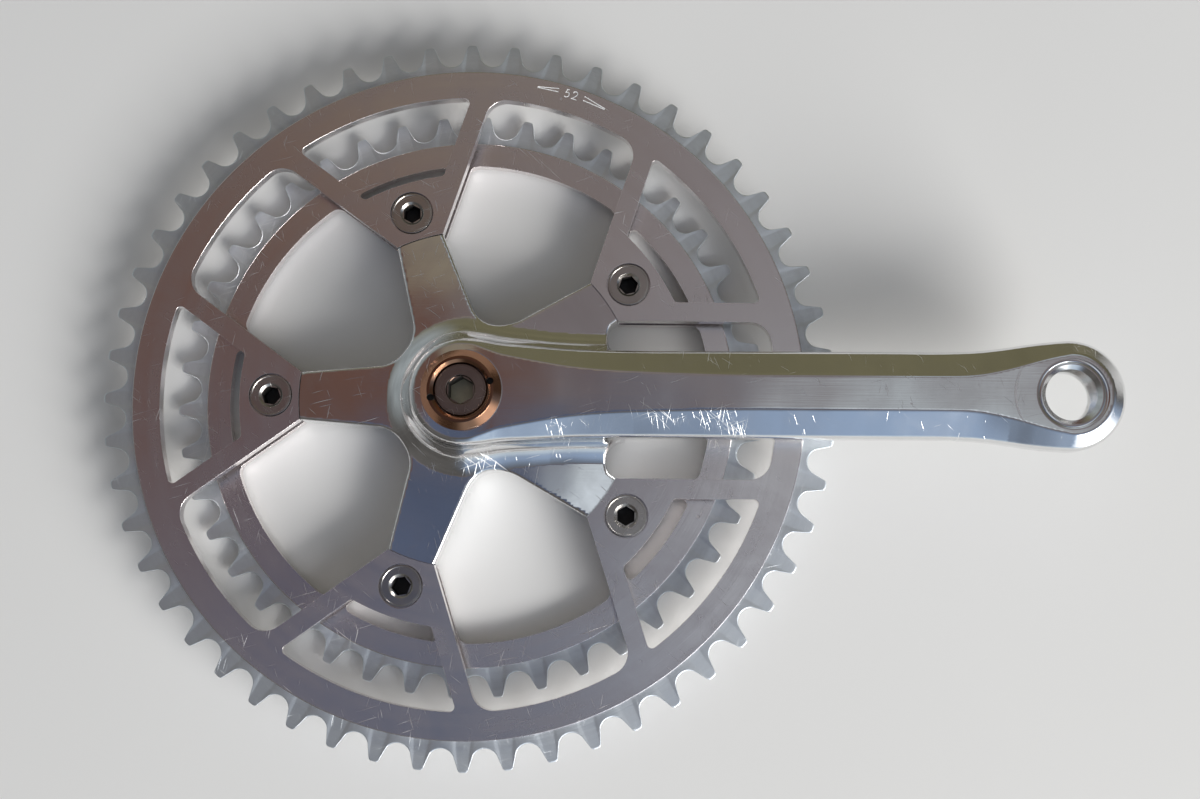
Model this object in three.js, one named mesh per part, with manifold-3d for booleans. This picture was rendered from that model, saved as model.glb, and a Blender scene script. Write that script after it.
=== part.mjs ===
// Bicycle crankset: a forged crank arm with a five-arm spider, two chainrings, the bolts that
// clamp them, and a captive crank bolt with its extractor ring.
//
// Millimetres. +Z points outboard, +X runs from the bottom bracket axis to the pedal axis, and
// the origin lies on the bottom bracket axis in the plane of the hub's back face.
import * as THREE from 'three';
import { mergeVertices } from 'three/addons/utils/BufferGeometryUtils.js';
import Module from 'manifold-3d';

// ---- Driving dimensions -------------------------------------------------------------------

// Drive train
const CRANK_LENGTH = 170;        // bottom bracket axis to pedal axis
const BOLT_CIRCLE = 116;         // diameter of the chainring bolt circle
const CHAIN_PITCH = 12.7;
const ROLLER = 7.9;              // chain roller diameter
const OUTER_TEETH = 52;
const INNER_TEETH = 42;
const OUTER_FIRST_TOOTH = 0.65;  // degrees from +X to a tooth centre
const INNER_FIRST_TOOTH = 2.48;
const ARM_COUNT = 5;

// Heights of the stack, from the back
const INNER_BACK = 0.85;         // inner ring's back face
const INNER_BODY = 3.55;         // thickness of the inner ring's body
const SPIDER_TAB = 3.45;         // thickness of the spider tab between the rings
const OUTER_BODY = 3.75;         // thickness of the outer ring's body
const TOOTH_PLATE = 2.1;         // thickness of both rings at the teeth
const TOOTH_SETBACK = 0.7;       // from a ring's back face to the back of its teeth
const SPIDER_BACK = 2.6;         // back of the thick part of the spider

// Chainrings
const TOOTH_HEIGHT = 2.66;       // pitch circle to tooth tip
const TOOTH_TIP = 2.6;           // width of a tooth's tip
const SEAT_CLEARANCE = 0.02;     // roller seat radius over the roller's radius
const SEAT_HALF_ANGLE = 60;      // degrees of roller seat on each side of the root
const ROOT_TO_STEP = 2.2;        // tooth root to the edge of the thicker body
const OUTER_RIM = 8.3;           // radial width of the outer ring's rim
const INNER_RIM = 7.1;
const STRUT = 5.7;               // width of a strut beside a large window
const OUTER_WINDOW_CORNER = 6.5;
const INNER_WINDOW_CORNER = 3.2;
const SLOT_CORNER = 1.5;         // corners of the windows outside the bolts
const TAB_HALF = 7.07;           // half width of a tab at its inner edge
const TAB_INSIDE = 8.3;          // bolt circle to the tab's inner edge
const TAB_OUTSIDE = 9.2;         // bolt circle to the tab's outer edge

// Chainring bolts and nuts
const RING_BOLT_SHANK = 7.9;
const RING_BOLT_LEDGE = 1.2;     // how far a head or a nut's flange reaches past the sleeve
const RING_BOLT_HEAD_HEIGHT = 2.2;
const RING_BOLT_HEAD_SINK = 0.1; // head face below the outer ring's face
const RING_BOLT_HEX = 5;
const RING_BOLT_COUNTERSINK = 0.7; // width of the chamfer round the hex, on each side
const RING_BOLT_END = 2.4;       // height of the shank's end
const RING_NUT_WALL = 0.65;      // wall of the nut's sleeve
const RING_NUT_FLANGE_HEIGHT = 1.6;
const RING_NUT_SLOT = 2.2;       // width of the slot across the nut's flange
const RING_NUT_SLOT_DEPTH = 0.9;

// Crank arm
const BOSS_FACE = 27.6;          // height of the hub's outer face
const EYE_RISE = 6.2;            // rise of the arm's outer face from the hub to the pedal axis
const ARM_BACK_AT_HUB = 12.5;    // height of the arm's back face at the hub
const ARM_BACK_AT_EYE = 21.0;
const ARM_TOP_HALF = 4.9;        // half width of the flat along the arm's middle
const ARM_HALF = 12.4;           // half width of the arm's middle
const ARM_BEVEL_DROP = 5.0;      // height of the side bevels
const ARM_BACK_CHAMFER = 2.5;
const PEDAL_HOLE = 14.3;
const SPOT_FACE = 2.85;          // width of the ring faced flat around the pedal hole
const SPOT_FACE_DEPTH = 0.6;
const EYE_LAND = 1.3;            // flat left around the spot face
const EYE_BEVEL = 4.3;           // width of the bevel around the end of the arm

// Hub
const EXTRACTOR_THREAD = 22.0;
const BOSS_WALL = 2.9;           // wall around the extractor thread at the hub's outer face
const BOSS_DRAFT = 1.7;          // how much thicker that wall is where its fillet begins
const BOSS_FILLET = 10.4;        // fillet from the hub wall to the spider
const HUB_BACK_RADIUS = 16.5;
const TAPER_BACK = 13.4;         // square socket across its flats at the back
const TAPER_ANGLE = 2;           // degrees on each flat
const BOLT_SEAT_DEPTH = 10.6;    // hub's outer face to the shoulder that the crank bolt clamps

// Spider
const WEB_RADIUS = 23.2;         // web between two plain arms
const WEB_FLANK = 21.5;          // web between a plain arm and one beside the crank arm
const WEB_FILLET = 9.5;
const FLANK_FILLET = 8;
const FLARE_ANGLE = 29.7;        // degrees of the flared edge beside the crank arm
const FLARE_FILLET = 14;
const SPIDER_ROOT_HALF = 9.3;    // half width of a spider arm at the web
const NOTCH_DEPTH = 3.4;         // notch beside the crank arm, back from the tab's corner
const NOTCH_CORNER = 4.4;        // at most half the notch's height
const NOTCH_TO_ARM = 0.2;        // notch edge beyond the arm's side
const ROOT_PAST_CORNER = 2;      // metal under the arm beyond the tab's corner
const GUSSET_FILLET = 8.5;       // fillet between the arm's side and the spider
const KEEL_LENGTH = 34;          // taper that fades the spider into the arm's back
const KEEL_HALF = 9;
const TAB_EYE_WALL = 2.9;        // end of a spider tab around its bolt's sleeve

// Crank bolt set
const WASHER_CLEARANCE = 1;      // between the bolt's washer and the extractor thread
const BOLT_WASHER_THICKNESS = 1.5;
const BOLT_SHANK = 8;
const BOLT_END = 0.8;            // height of the shank's end
const FLANGE_CLEARANCE = 1.25;   // between the bolt's flange and the extractor thread
const BOLT_FLANGE_THICKNESS = 3.0;
const BOLT_COLLAR = 14.8;
const BOLT_FACE_SINK = 1;        // the bolt's face below the extractor ring's
const BOLT_HEX = 7;
const BOLT_HEX_DEPTH = 7.5;
const FRICTION_WASHER_THICKNESS = 0.8;
const BOLT_FLOAT = 0.9;          // free height between the friction washer and the ring
const RING_LIP = 0.5;            // how far the extractor ring reaches over its thread
const RING_HEIGHT = 2.7;         // extractor ring above the hub's face
const RING_EDGE = 0.6;           // upright edge of the extractor ring
const RING_MOUTH = 0.9;          // chamfer at the ring's bore
const RING_LAND = 0.8;           // flat between that chamfer and the ring's outer bevel
const PIN_HOLE = 2.0;
const PIN_HOLE_DEPTH = 2.0;
const PIN_ANGLE = 16;            // degrees from +X

// Facets: degrees of arc for each straight edge, and sides of round solids
const RIM_STEP = 6;
const FILLET_STEP = 24;
const SEAT_STEP = 40;
const HUB_SIDES = 36;
const BOLT_SIDES = 20;
const HOLE_SIDES = 16;

// Clearances
const FIT = 0.3;                 // between pieces that fit into each other

const radians = THREE.MathUtils.degToRad;

// ---- Derived dimensions -------------------------------------------------------------------

const boltRadius = BOLT_CIRCLE / 2;
const tabInner = boltRadius - TAB_INSIDE;
const tabOuter = boltRadius + TAB_OUTSIDE;
const shoulder = tabInner - FIT;
const innerFace = INNER_BACK + INNER_BODY;
const outerBack = innerFace + SPIDER_TAB;
const outerFace = outerBack + OUTER_BODY;
const spiderFace = outerFace;
const halfSector = 180 / ARM_COUNT;
const boltHeadUnder = outerFace - RING_BOLT_HEAD_SINK - RING_BOLT_HEAD_HEIGHT;
const sleeve = RING_BOLT_SHANK / 2 + FIT + RING_NUT_WALL;
const sleeveHole = sleeve + FIT;
const ringBoltHead = sleeve + RING_BOLT_LEDGE;
const ringBoltRecess = ringBoltHead + FIT;
const tabEye = sleeve + TAB_EYE_WALL;
const boltSeat = BOSS_FACE - BOLT_SEAT_DEPTH;
const flangeUnder = boltSeat + BOLT_WASHER_THICKNESS;
const flangeTop = flangeUnder + BOLT_FLANGE_THICKNESS;
const frictionTop = flangeTop + FRICTION_WASHER_THICKNESS;
const boltWasher = EXTRACTOR_THREAD / 2 - WASHER_CLEARANCE;
const boltFlange = EXTRACTOR_THREAD / 2 - FLANGE_CLEARANCE;
const ringFace = BOSS_FACE + RING_HEIGHT;
const boltFace = ringFace - BOLT_FACE_SINK;
const ringFlange = EXTRACTOR_THREAD / 2 + RING_LIP;
const windowHalf = tabInner * Math.sin(radians(halfSector) - Math.asin(TAB_HALF / tabInner));
const tabCorner = polar(tabInner, halfSector).addScaledVector(polar(1, halfSector - 90), TAB_HALF);
const rootEnd = tabCorner.x + ROOT_PAST_CORNER;
const bossRadius = EXTRACTOR_THREAD / 2 + BOSS_WALL;
const bossRoot = bossRadius + BOSS_DRAFT;
const pedalHole = PEDAL_HOLE / 2;
const spotFace = pedalHole + SPOT_FACE;
const eyeTop = spotFace + EYE_LAND;
const eyeRadius = eyeTop + EYE_BEVEL;
const eyeFace = BOSS_FACE + EYE_RISE;
const TINY = 0.5;                // how far a cutting tool runs past a face
const TAB_OVERLAP = 6;           // how far a tab or the arm's keel runs back into the spider

const armAngles = Array.from({ length: ARM_COUNT }, (_, k) => halfSector * (2 * k + 1));

// ---- Materials ----------------------------------------------------------------------------

const polishedAlloy = new THREE.MeshStandardMaterial({ color: 0xb9bbbd, roughness: 0.22, metalness: 1 });
const satinAlloy = new THREE.MeshStandardMaterial({ color: 0xa9a6a6, roughness: 0.38, metalness: 1 });
const chromedSteel = new THREE.MeshStandardMaterial({ color: 0x9c9690, roughness: 0.12, metalness: 1 });
const plainSteel = new THREE.MeshStandardMaterial({ color: 0x8a8a8c, roughness: 0.3, metalness: 1 });

// ---- Solids -------------------------------------------------------------------------------

const wasm = await Module();
wasm.setup();

// A closed three.js geometry as a solid, with its faces turned outwards.
function toSolid(geometry) {
  const bare = geometry.clone();
  bare.deleteAttribute('normal');
  bare.deleteAttribute('uv');
  const merged = mergeVertices(bare, 1e-4);
  const position = merged.attributes.position;
  const index = merged.index.array;
  const a = new THREE.Vector3();
  const b = new THREE.Vector3();
  const c = new THREE.Vector3();
  const triangles = [];
  let volume = 0;
  for (let i = 0; i < index.length; i += 3) {
    const [p, q, r] = [index[i], index[i + 1], index[i + 2]];
    if (p === q || q === r || r === p) continue;
    triangles.push([p, q, r]);
    a.fromBufferAttribute(position, p);
    b.fromBufferAttribute(position, q);
    c.fromBufferAttribute(position, r);
    volume += a.dot(b.cross(c));
  }
  const outward = volume > 0 ? triangles : triangles.map(([p, q, r]) => [p, r, q]);
  return new wasm.Manifold(new wasm.Mesh({
    numProp: 3,
    vertProperties: new Float32Array(position.array),
    triVerts: new Uint32Array(outward.flat()),
  }));
}

function toGeometry(solid) {
  const mesh = solid.getMesh();
  const geometry = new THREE.BufferGeometry();
  geometry.setAttribute('position', new THREE.BufferAttribute(mesh.vertProperties, 3));
  geometry.setIndex(new THREE.BufferAttribute(mesh.triVerts, 1));
  geometry.computeVertexNormals();
  return geometry;
}

function extrude(outline, bottom, top, holes = []) {
  const shape = new THREE.Shape(outline);
  shape.holes = holes.map((hole) => new THREE.Path(hole));
  const geometry = new THREE.ExtrudeGeometry(shape, { depth: top - bottom, bevelEnabled: false });
  return toSolid(geometry.translate(0, 0, bottom));
}

// A section drawn in X and Y, drawn out along +Z.
function drawnOut(section, depth) {
  return new THREE.ExtrudeGeometry(new THREE.Shape(section), { depth, bevelEnabled: false });
}

// A closed profile of [radius, height] pairs turned about the Z axis.
function turn(profile, segments, x = 0, y = 0) {
  const points = [...profile, profile[0]].map(([r, z]) => new THREE.Vector2(r, z));
  return toSolid(new THREE.LatheGeometry(points, segments).rotateX(Math.PI / 2).translate(x, y, 0));
}

// A prism or a cone frustum about a vertical axis, with its first corner on -Y.
function prism(bottomRadius, topRadius, bottom, top, sides, x = 0, y = 0) {
  const geometry = new THREE.CylinderGeometry(topRadius, bottomRadius, top - bottom, sides);
  return toSolid(geometry.rotateX(Math.PI / 2).translate(x, y, (top + bottom) / 2));
}

function box(width, depth, height, x, y, z) {
  return toSolid(new THREE.BoxGeometry(width, depth, height).translate(x, y, z));
}

function piece(name, solid, material) {
  const mesh = new THREE.Mesh(toGeometry(solid), material);
  mesh.name = name;
  return mesh;
}

// ---- Plan geometry ------------------------------------------------------------------------

function polar(radius, degrees) {
  return new THREE.Vector2(radius * Math.cos(radians(degrees)), radius * Math.sin(radians(degrees)));
}

function turned(points, degrees) {
  const origin = new THREE.Vector2();
  return points.map((point) => point.clone().rotateAround(origin, radians(degrees)));
}

// Points on an arc from one angle to another, both ends included, in steps of about `step`.
function arc(centre, radius, from, to, step) {
  const count = Math.max(1, Math.round(Math.abs(to - from) / step));
  return Array.from({ length: count + 1 }, (_, i) => (
    polar(radius, from + (to - from) * i / count).add(centre)));
}

// The meeting point of two lines, each given by two points.
function meet(a, b, c, d) {
  const u = b.clone().sub(a);
  const v = d.clone().sub(c);
  const t = c.clone().sub(a).cross(v) / u.cross(v);
  return a.clone().addScaledVector(u, t);
}

// A polygon of {at, r} corners, with each corner rounded to its radius r.
function roundedOutline(corners, step) {
  return corners.flatMap(({ at, r }, i) => {
    if (!r) return [at];
    const before = corners[(i + corners.length - 1) % corners.length].at.clone().sub(at).normalize();
    const after = corners[(i + 1) % corners.length].at.clone().sub(at).normalize();
    const half = Math.acos(before.dot(after)) / 2;
    const centre = before.clone().add(after).normalize().multiplyScalar(r / Math.sin(half)).add(at);
    const start = before.multiplyScalar(r / Math.tan(half)).add(at).sub(centre);
    const end = after.multiplyScalar(r / Math.tan(half)).add(at).sub(centre);
    const sweep = THREE.MathUtils.radToDeg(Math.atan2(start.cross(end), start.dot(end)));
    const from = THREE.MathUtils.radToDeg(start.angle());
    return arc(centre, r, from, from + sweep, step);
  });
}

// The fillet between a line `offset` to the left of the ray at `heading` and a circle about the
// origin, as points from the line to the circle. `side` is the side of the line, 1 for left and
// -1 for right, and `within` says whether the fillet lies within the circle.
function lineToCircle(heading, offset, circle, fillet, side, within) {
  const reach = within ? circle - fillet : circle + fillet;
  const across = offset + side * fillet;
  const centre = new THREE.Vector2(Math.sqrt(reach * reach - across * across), across);
  const from = -90 * side;
  const towards = THREE.MathUtils.radToDeg(centre.angle()) + (within ? 0 : 180);
  const sweep = THREE.MathUtils.euclideanModulo(towards - from + 180, 360) - 180;
  return turned(arc(centre, fillet, from, from + sweep, FILLET_STEP), heading);
}

const degreesOf = (point) => THREE.MathUtils.radToDeg(Math.atan2(point.y, point.x));

// The arc about the origin between two points that lie on it, without its ends.
function between(first, last, step) {
  const from = degreesOf(first);
  const sweep = THREE.MathUtils.euclideanModulo(degreesOf(last) - from + 180, 360) - 180;
  return arc(new THREE.Vector2(), first.length(), from, from + sweep, step).slice(1, -1);
}

// ---- Chainrings ---------------------------------------------------------------------------

const pitchRadius = (teeth) => CHAIN_PITCH / (2 * Math.sin(Math.PI / teeth));
const rootRadius = (teeth) => pitchRadius(teeth) - ROLLER / 2;

// Round roller seats with straight flanks up to narrow tips.
function toothOutline(teeth, firstTooth) {
  const pitch = 360 / teeth;
  const tip = pitchRadius(teeth) + TOOTH_HEIGHT;
  const tipHalf = THREE.MathUtils.radToDeg(TOOTH_TIP / 2 / tip);
  const seat = ROLLER / 2 + SEAT_CLEARANCE;
  const outline = [];
  for (let k = 0; k < teeth; k += 1) {
    const tooth = firstTooth + k * pitch;
    const gap = tooth + pitch / 2;
    outline.push(polar(tip, tooth - tipHalf), polar(tip, tooth + tipHalf));
    const inward = gap + 180;
    const centre = polar(pitchRadius(teeth), gap);
    outline.push(...arc(centre, seat, inward + SEAT_HALF_ANGLE, inward - SEAT_HALF_ANGLE, SEAT_STEP));
  }
  return outline;
}

// The ring's inner edge: tab edges and, between them, large windows that open inwards.
function innerEdge(rim, corner) {
  const mouth = Math.sqrt(tabInner ** 2 - windowHalf ** 2);
  const edge = [];
  for (let k = 0; k < ARM_COUNT; k += 1) {
    const heading = 2 * halfSector * k;
    const right = lineToCircle(heading, -windowHalf, rim, corner, 1, true);
    const left = lineToCircle(heading, windowHalf, rim, corner, -1, true).reverse();
    const [start, end, next] = [
      ...turned([new THREE.Vector2(mouth, -windowHalf), new THREE.Vector2(mouth, windowHalf)], heading),
      ...turned([new THREE.Vector2(mouth, -windowHalf)], heading + 2 * halfSector),
    ];
    edge.push(start, ...right, ...between(right.at(-1), left[0], RIM_STEP), ...left, end);
    edge.push(...between(end, next, RIM_STEP));
  }
  return edge;
}

// The window between two struts, outside a bolt.
function boltWindow(heading, rim) {
  const offset = windowHalf + STRUT;
  const fillet = (turnBy, side, circle, within) => (
    lineToCircle(heading + turnBy, side * offset, circle, SLOT_CORNER, side, within));
  const lowerIn = fillet(-halfSector, 1, tabOuter, false).reverse();
  const lowerOut = fillet(-halfSector, 1, rim, true);
  const upperOut = fillet(halfSector, -1, rim, true).reverse();
  const upperIn = fillet(halfSector, -1, tabOuter, false);
  return [
    ...lowerIn, ...lowerOut, ...between(lowerOut.at(-1), upperOut[0], RIM_STEP),
    ...upperOut, ...upperIn, ...between(upperIn.at(-1), lowerIn[0], RIM_STEP),
  ];
}

// A clearance hole for a nut's sleeve, from one height to another.
function boltHole(bottom, top, at) {
  return prism(sleeveHole, sleeveHole, bottom - TINY, top + TINY, HOLE_SIDES, at.x, at.y);
}

// A ring has windows outside its bolts only where its rim leaves them room.
function chainring(teeth, firstTooth, back, thickness, rimWidth, corner) {
  const step = rootRadius(teeth) - ROOT_TO_STEP;
  const rim = step - rimWidth;
  const toothBack = back + TOOTH_SETBACK;
  const centre = new THREE.Vector2();
  const circle = (radius) => arc(centre, radius, 0, 360, RIM_STEP).slice(0, -1);
  const roomForWindows = rim - tabOuter > 2 * SLOT_CORNER;
  const windows = roomForWindows ? armAngles.map((angle) => boltWindow(angle, rim)) : [];
  const body = extrude(circle(step), back, back + thickness, [innerEdge(rim, corner), ...windows]);
  const plate = extrude(
    toothOutline(teeth, firstTooth), toothBack, toothBack + TOOTH_PLATE, [circle(step - rimWidth / 2)]);
  return armAngles.reduce((ring, angle) => {
    const at = polar(boltRadius, angle);
    return ring.subtract(boltHole(back, back + thickness, at));
  }, body.add(plate));
}

function outerChainring() {
  const ring = chainring(
    OUTER_TEETH, OUTER_FIRST_TOOTH, outerBack, OUTER_BODY, OUTER_RIM, OUTER_WINDOW_CORNER);
  const recess = ringBoltRecess;
  return armAngles.reduce((solid, angle) => {
    const at = polar(boltRadius, angle);
    return solid.subtract(prism(recess, recess, boltHeadUnder, outerFace + TINY, BOLT_SIDES, at.x, at.y));
  }, ring);
}

function innerChainring() {
  const ring = chainring(
    INNER_TEETH, INNER_FIRST_TOOTH, INNER_BACK, INNER_BODY, INNER_RIM, INNER_WINDOW_CORNER);
  const recess = ringBoltRecess;
  return armAngles.reduce((solid, angle) => {
    const at = polar(boltRadius, angle);
    return solid.subtract(prism(recess, recess, -TINY, RING_NUT_FLANGE_HEIGHT, BOLT_SIDES, at.x, at.y));
  }, ring);
}

// ---- Chainring fasteners ------------------------------------------------------------------

const hexRadius = (acrossFlats) => acrossFlats / Math.sqrt(3);

function chainringBolt(x, y) {
  const face = boltHeadUnder + RING_BOLT_HEAD_HEIGHT;
  const head = ringBoltHead;
  const shank = RING_BOLT_SHANK / 2;
  const chamfer = 0.4;
  const flats = RING_BOLT_HEX / 2;
  const rim = flats + RING_BOLT_COUNTERSINK;
  const body = turn([
    [0, RING_BOLT_END], [shank, RING_BOLT_END], [shank, boltHeadUnder], [head, boltHeadUnder],
    [head, face - chamfer], [head - chamfer, face], [0, face],
  ], BOLT_SIDES, x, y);
  const socket = prism(hexRadius(RING_BOLT_HEX), hexRadius(RING_BOLT_HEX), 0, face + TINY, 6, x, y);
  const mouth = prism(flats, rim, face - RING_BOLT_COUNTERSINK, face, BOLT_SIDES, x, y);
  return body.subtract(socket).subtract(mouth);
}

function chainringNut(x, y) {
  const flange = ringBoltHead;
  const bore = RING_BOLT_SHANK / 2 + FIT;
  const top = boltHeadUnder - FIT;
  const body = turn([
    [bore, 0], [flange, 0], [flange, RING_NUT_FLANGE_HEIGHT], [sleeve, RING_NUT_FLANGE_HEIGHT],
    [sleeve, top], [bore, top],
  ], BOLT_SIDES, x, y);
  const slot = box(2 * flange + 2 * TINY, RING_NUT_SLOT, 2 * RING_NUT_SLOT_DEPTH, x, y, 0);
  return body.subtract(slot);
}

// ---- Crank arm ----------------------------------------------------------------------------

const armFaceAt = (x) => BOSS_FACE + EYE_RISE * x / CRANK_LENGTH;
const armBackAt = (x) => ARM_BACK_AT_HUB + (ARM_BACK_AT_EYE - ARM_BACK_AT_HUB) * x / CRANK_LENGTH;

// Half widths along the arm: waisted from the hub, straight, then flared around the eye. Places
// near the hub are measured from its axis, and places near the eye back from the pedal axis.
const smoothLine = (points) => new THREE.SplineCurve(points.map(([x, y]) => new THREE.Vector2(x, y)));
const topEdge = smoothLine([
  [0, bossRadius - 0.2], [10, 10.9], [20, 8.9], [30, 7.3], [42, ARM_TOP_HALF + 1.3],
  [60, ARM_TOP_HALF + 0.5], [85, ARM_TOP_HALF], [CRANK_LENGTH - 42, ARM_TOP_HALF],
  [CRANK_LENGTH - 27, ARM_TOP_HALF + 0.4], [CRANK_LENGTH - 17, ARM_TOP_HALF + 2.1],
  [CRANK_LENGTH - 8, eyeTop - 1.8], [CRANK_LENGTH, eyeTop],
]);
const sideEdge = smoothLine([
  [0, bossRoot - 0.6], [10, 14.2], [20, ARM_HALF + 1.2], [30, ARM_HALF + 0.5], [42, ARM_HALF + 0.2],
  [60, ARM_HALF], [85, ARM_HALF], [CRANK_LENGTH - 42, ARM_HALF],
  [CRANK_LENGTH - 27, ARM_HALF + 0.3], [CRANK_LENGTH - 17, ARM_HALF + 1.2],
  [CRANK_LENGTH - 8, eyeRadius - 0.6], [CRANK_LENGTH, eyeRadius],
]);

// One level of the arm: a closed loop of points at the given height, which may vary with x.
function armLevel(edge, inset, endRadius, heightAt) {
  const samples = 22;
  const side = Array.from({ length: samples + 1 }, (_, i) => edge.getPoint(i / samples));
  const upper = side.map(({ x, y }) => new THREE.Vector2(x, y - inset));
  const eye = new THREE.Vector2(CRANK_LENGTH, 0);
  const end = arc(eye, endRadius - inset, 90, -90, 12).slice(1, -1);
  const lower = upper.map(({ x, y }) => new THREE.Vector2(x, -y)).reverse();
  return [...upper, ...end, ...lower].map(({ x, y }) => new THREE.Vector3(x, y, heightAt(x)));
}

// A closed skin through loops of equal length, with flat ends.
function loft(loops) {
  const count = loops[0].length;
  const positions = loops.flat().flatMap(({ x, y, z }) => [x, y, z]);
  const triangles = [];
  for (let level = 0; level + 1 < loops.length; level += 1) {
    for (let i = 0; i < count; i += 1) {
      const a = level * count + i;
      const b = level * count + (i + 1) % count;
      triangles.push(a, b, b + count, a, b + count, a + count);
    }
  }
  const flat = (loop) => loop.map(({ x, y }) => new THREE.Vector2(x, y));
  const capOf = (loop, first, reversed) => {
    for (const [a, b, c] of THREE.ShapeUtils.triangulateShape(flat(loop), [])) {
      triangles.push(...(reversed ? [first + a, first + c, first + b] : [first + a, first + b, first + c]));
    }
  };
  capOf(loops[0], 0, false);
  capOf(loops.at(-1), (loops.length - 1) * count, true);
  const geometry = new THREE.BufferGeometry();
  geometry.setAttribute('position', new THREE.Float32BufferAttribute(positions, 3));
  geometry.setIndex(triangles);
  return toSolid(geometry);
}

function armBar() {
  const side = (x) => armFaceAt(x) - ARM_BEVEL_DROP;
  return loft([
    armLevel(topEdge, 0, eyeTop, armFaceAt),
    armLevel(sideEdge, 0, eyeRadius, side),
    armLevel(sideEdge, 0, eyeRadius, (x) => armBackAt(x) + ARM_BACK_CHAMFER),
    armLevel(sideEdge, ARM_BACK_CHAMFER, eyeRadius, armBackAt),
  ]);
}

// The spider seen from outboard, up to and beyond the shoulder that the rings seat against.
function spiderOutline() {
  const sideOf = (angle, side) => {
    const across = polar(side, angle + 90);
    return [
      polar(tabInner, angle).addScaledVector(across, TAB_HALF),
      polar(WEB_RADIUS, angle).addScaledVector(across, SPIDER_ROOT_HALF),
    ];
  };
  const beyond = (outer, inner) => outer.clone().sub(inner).setLength(4).add(outer);
  const [gap, next] = [4 * halfSector, 5 * halfSector];
  const chord = [polar(WEB_RADIUS, gap), polar(WEB_RADIUS, gap).add(polar(1, gap + 90))];
  const first = sideOf(armAngles[0], 1);
  const plain = [sideOf(armAngles[1], -1), sideOf(armAngles[1], 1), sideOf(next, -1)];
  const flank = [new THREE.Vector2(0, WEB_FLANK), new THREE.Vector2(1, WEB_FLANK)];
  const flare = [first[0], first[0].clone().add(polar(1, FLARE_ANGLE))];
  const notch = tabCorner.x - NOTCH_DEPTH;
  const notchTop = tabCorner.y + 0.6;
  const armSide = ARM_HALF + NOTCH_TO_ARM;
  const notchCorner = Math.min(NOTCH_CORNER, 0.49 * (notchTop - armSide));
  const upper = [
    { at: new THREE.Vector2(rootEnd, armSide - 0.4) },
    { at: new THREE.Vector2(notch, armSide), r: notchCorner },
    { at: new THREE.Vector2(notch, notchTop), r: notchCorner },
    { at: new THREE.Vector2(tabCorner.x + 5, notchTop) },
    { at: flare[0].clone().add(polar(5, FLARE_ANGLE)) },
    { at: meet(...flare, ...flank), r: FLARE_FILLET },
    { at: meet(...plain[0], ...flank), r: FLANK_FILLET },
    { at: beyond(...plain[0]) },
    { at: beyond(...plain[1]) },
    { at: meet(...plain[1], ...chord), r: WEB_FILLET },
    { at: meet(...plain[2], ...chord), r: WEB_FILLET },
    { at: beyond(...plain[2]) },
  ];
  const lower = upper.map(({ at, r }) => ({ at: new THREE.Vector2(at.x, -at.y), r })).reverse();
  return roundedOutline([...upper, ...lower], FILLET_STEP);
}

// The wall around the hub, with a round fillet down to the spider's face.
function hubWall() {
  const centre = new THREE.Vector2(bossRoot + BOSS_FILLET, spiderFace + BOSS_FILLET);
  const fillet = arc(centre, BOSS_FILLET, 270, 180, 15).map(({ x, y }) => [x, y]);
  return turn([
    [0, spiderFace - 1], [fillet[0][0], spiderFace - 1], ...fillet, [bossRadius, BOSS_FACE], [0, BOSS_FACE],
  ], HUB_SIDES);
}

// Metal under the arm's root, with round flanks down to the spider's face.
function armRoot(length) {
  const flank = (side) => {
    const centre = new THREE.Vector2(side * (ARM_HALF + GUSSET_FILLET), spiderFace + GUSSET_FILLET);
    const [from, to] = side > 0 ? [270, 180] : [0, -90];
    return arc(centre, GUSSET_FILLET, from, to, 15);
  };
  const base = ARM_HALF + GUSSET_FILLET;
  const section = [
    new THREE.Vector2(-base, spiderFace - 1), new THREE.Vector2(base, spiderFace - 1),
    ...flank(1), ...flank(-1),
  ];
  return toSolid(drawnOut(section, length).rotateX(Math.PI / 2).rotateZ(Math.PI / 2));
}

// The taper on the back that fades the spider into the arm.
function keel(start) {
  const back = start - TAB_OVERLAP;
  const tip = start + KEEL_LENGTH;
  const section = [
    [back, SPIDER_BACK], [start, SPIDER_BACK], [tip, armBackAt(tip) + 1], [back, armBackAt(start) + 1],
  ].map(([x, z]) => new THREE.Vector2(x, z));
  return toSolid(drawnOut(section, 2 * KEEL_HALF).translate(0, 0, -KEEL_HALF).rotateX(Math.PI / 2));
}

function spiderTab(angle) {
  const at = polar(boltRadius, angle);
  const start = shoulder - TAB_OVERLAP;
  const length = boltRadius - start;
  const geometry = new THREE.BoxGeometry(length, 2 * TAB_HALF, SPIDER_TAB)
    .translate(start + length / 2, 0, innerFace + SPIDER_TAB / 2)
    .rotateZ(radians(angle));
  const eye = prism(tabEye, tabEye, innerFace, outerBack, BOLT_SIDES, at.x, at.y);
  return toSolid(geometry).add(eye).subtract(boltHole(innerFace, outerBack, at));
}

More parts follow.
